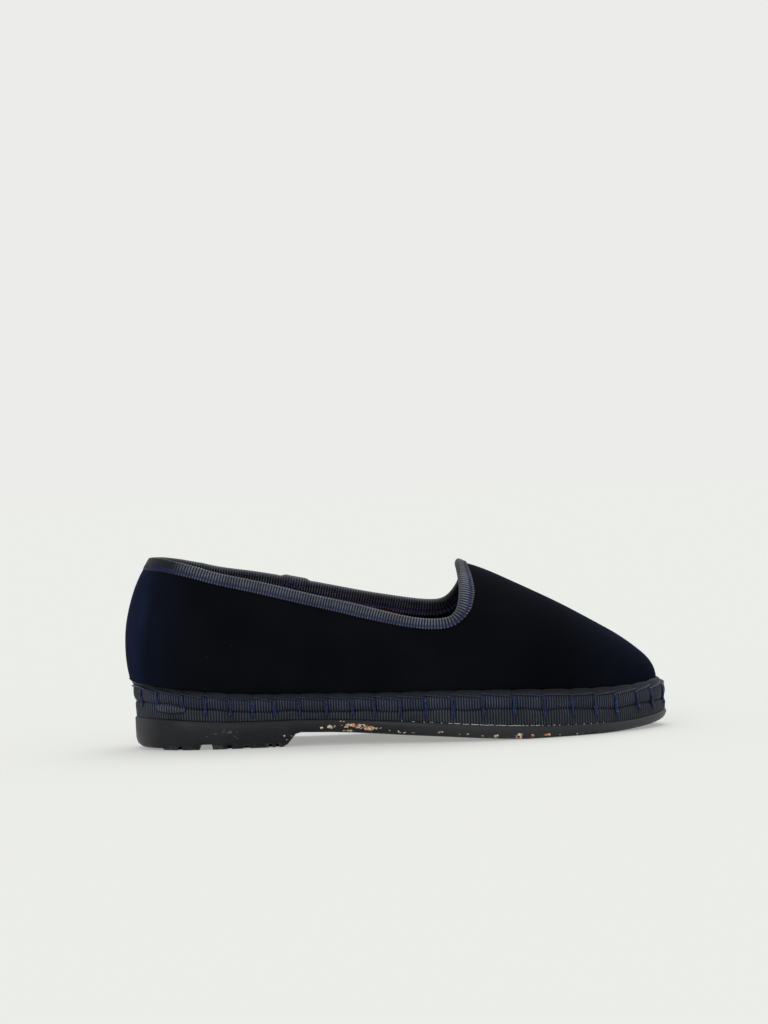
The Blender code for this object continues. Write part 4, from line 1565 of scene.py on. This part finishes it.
def make_camera():
    """The photograph's view: nearly level with the shoe, a little heel-side of square, and rolled."""
    angles = CAMERA_AZIMUTH, CAMERA_ELEVATION, CAMERA_ROLL
    azimuth, elevation, roll = (math.radians(value) for value in angles)
    back = Vector((
        math.sin(azimuth) * math.cos(elevation),
        -math.cos(azimuth) * math.cos(elevation),
        math.sin(elevation),
    ))
    level = Vector((math.cos(azimuth), math.sin(azimuth), 0.0))
    upright = back.cross(level)
    right = level * math.cos(roll) - upright * math.sin(roll)
    up = level * math.sin(roll) + upright * math.cos(roll)
    camera = bpy.data.cameras.new("photo_camera")
    camera.lens = 100.0
    camera.sensor_width = 36.0
    camera.sensor_fit = "AUTO"
    camera.clip_end = 50.0
    made = bpy.data.objects.new("photo_camera", camera)
    bpy.context.scene.collection.objects.link(made)
    place = Vector(CAMERA_TARGET) + back * CAMERA_DISTANCE
    made.matrix_world = Matrix((
        (right.x, up.x, back.x, place.x),
        (right.y, up.y, back.y, place.y),
        (right.z, up.z, back.z, place.z),
        (0.0, 0.0, 0.0, 1.0),
    ))
    bpy.context.scene.camera = made


def main():
    bpy.context.scene.view_settings.view_transform = "Standard"
    make_camera()
    make_studio()
    velvet = make_velvet()
    lining = make_lining()
    thread = make_thread("blue_thread", srgb(24, 18, 60), srgb(12, 36, 70), srgb(60, 76, 136))
    # The strand along the top is the same thread as the bars, given darker colours as painted shade
    top_thread = make_thread("shaded_blue_thread", srgb(17, 16, 38), srgb(13, 22, 42), srgb(54, 64, 102))
    sewing = make_thread("violet_thread", srgb(30, 33, 80), srgb(44, 48, 104), srgb(72, 76, 132))
    glue = make_plain("dried_glue", srgb(196, 192, 182), 0.6)
    rubber = make_rubber()
    welt_ribbon = make_ribbon("welt_ribbon", srgb(10, 13, 20), srgb(64, 71, 90), srgb(20, 24, 33))
    low_ribbon = make_ribbon("midsole_ribbon", srgb(12, 15, 20), srgb(61, 67, 79), srgb(26, 28, 40))
    fold_ribbon = make_ribbon("fold_ribbon", srgb(10, 13, 20), srgb(76, 82, 98), srgb(26, 28, 40))
    collar_ribbon = make_ribbon("collar_ribbon", srgb(14, 16, 22), srgb(99, 105, 121), srgb(32, 35, 84))
    # Levels of painted shade: beside the stitches from low to high, and in each stitch's hole
    stitch_shade_levels = (0.0, THREAD_LEVEL, THREAD_LEVEL + 0.06)
    band_piece("welt_ribbon", WELT_BAND, welt_ribbon, "welt", 1.2, WELT_RIB, WELT_SEWN_FROM, stitch_shade_levels)
    stitch_shade_levels = (DEPTHS, 1.2, DEPTHS - 0.08)
    band_piece("midsole_ribbon", MIDSOLE_BAND, low_ribbon, "midsole", 1.5, RIB, NOT_SEWN, stitch_shade_levels)
    make_fold(fold_ribbon)
    make_binding(collar_ribbon)
    make_sewing(sewing)
    make_loose_threads(sewing)
    make_upper(velvet, lining)
    make_stitches(thread, top_thread)
    make_glue(glue)
    make_chips(make_crumb())
    # The webs' near-black colour is painted shade of the deep grooves
    make_heel_webs(make_plain("groove_shade_rubber", srgb(9, 9, 11), 0.9))
    smooth_copy("insole", "insole_cloth", lining, "crimson_lining", 40)
    smooth_copy("outsole", "rubber_sole", rubber, "black_rubber", 32)


main()
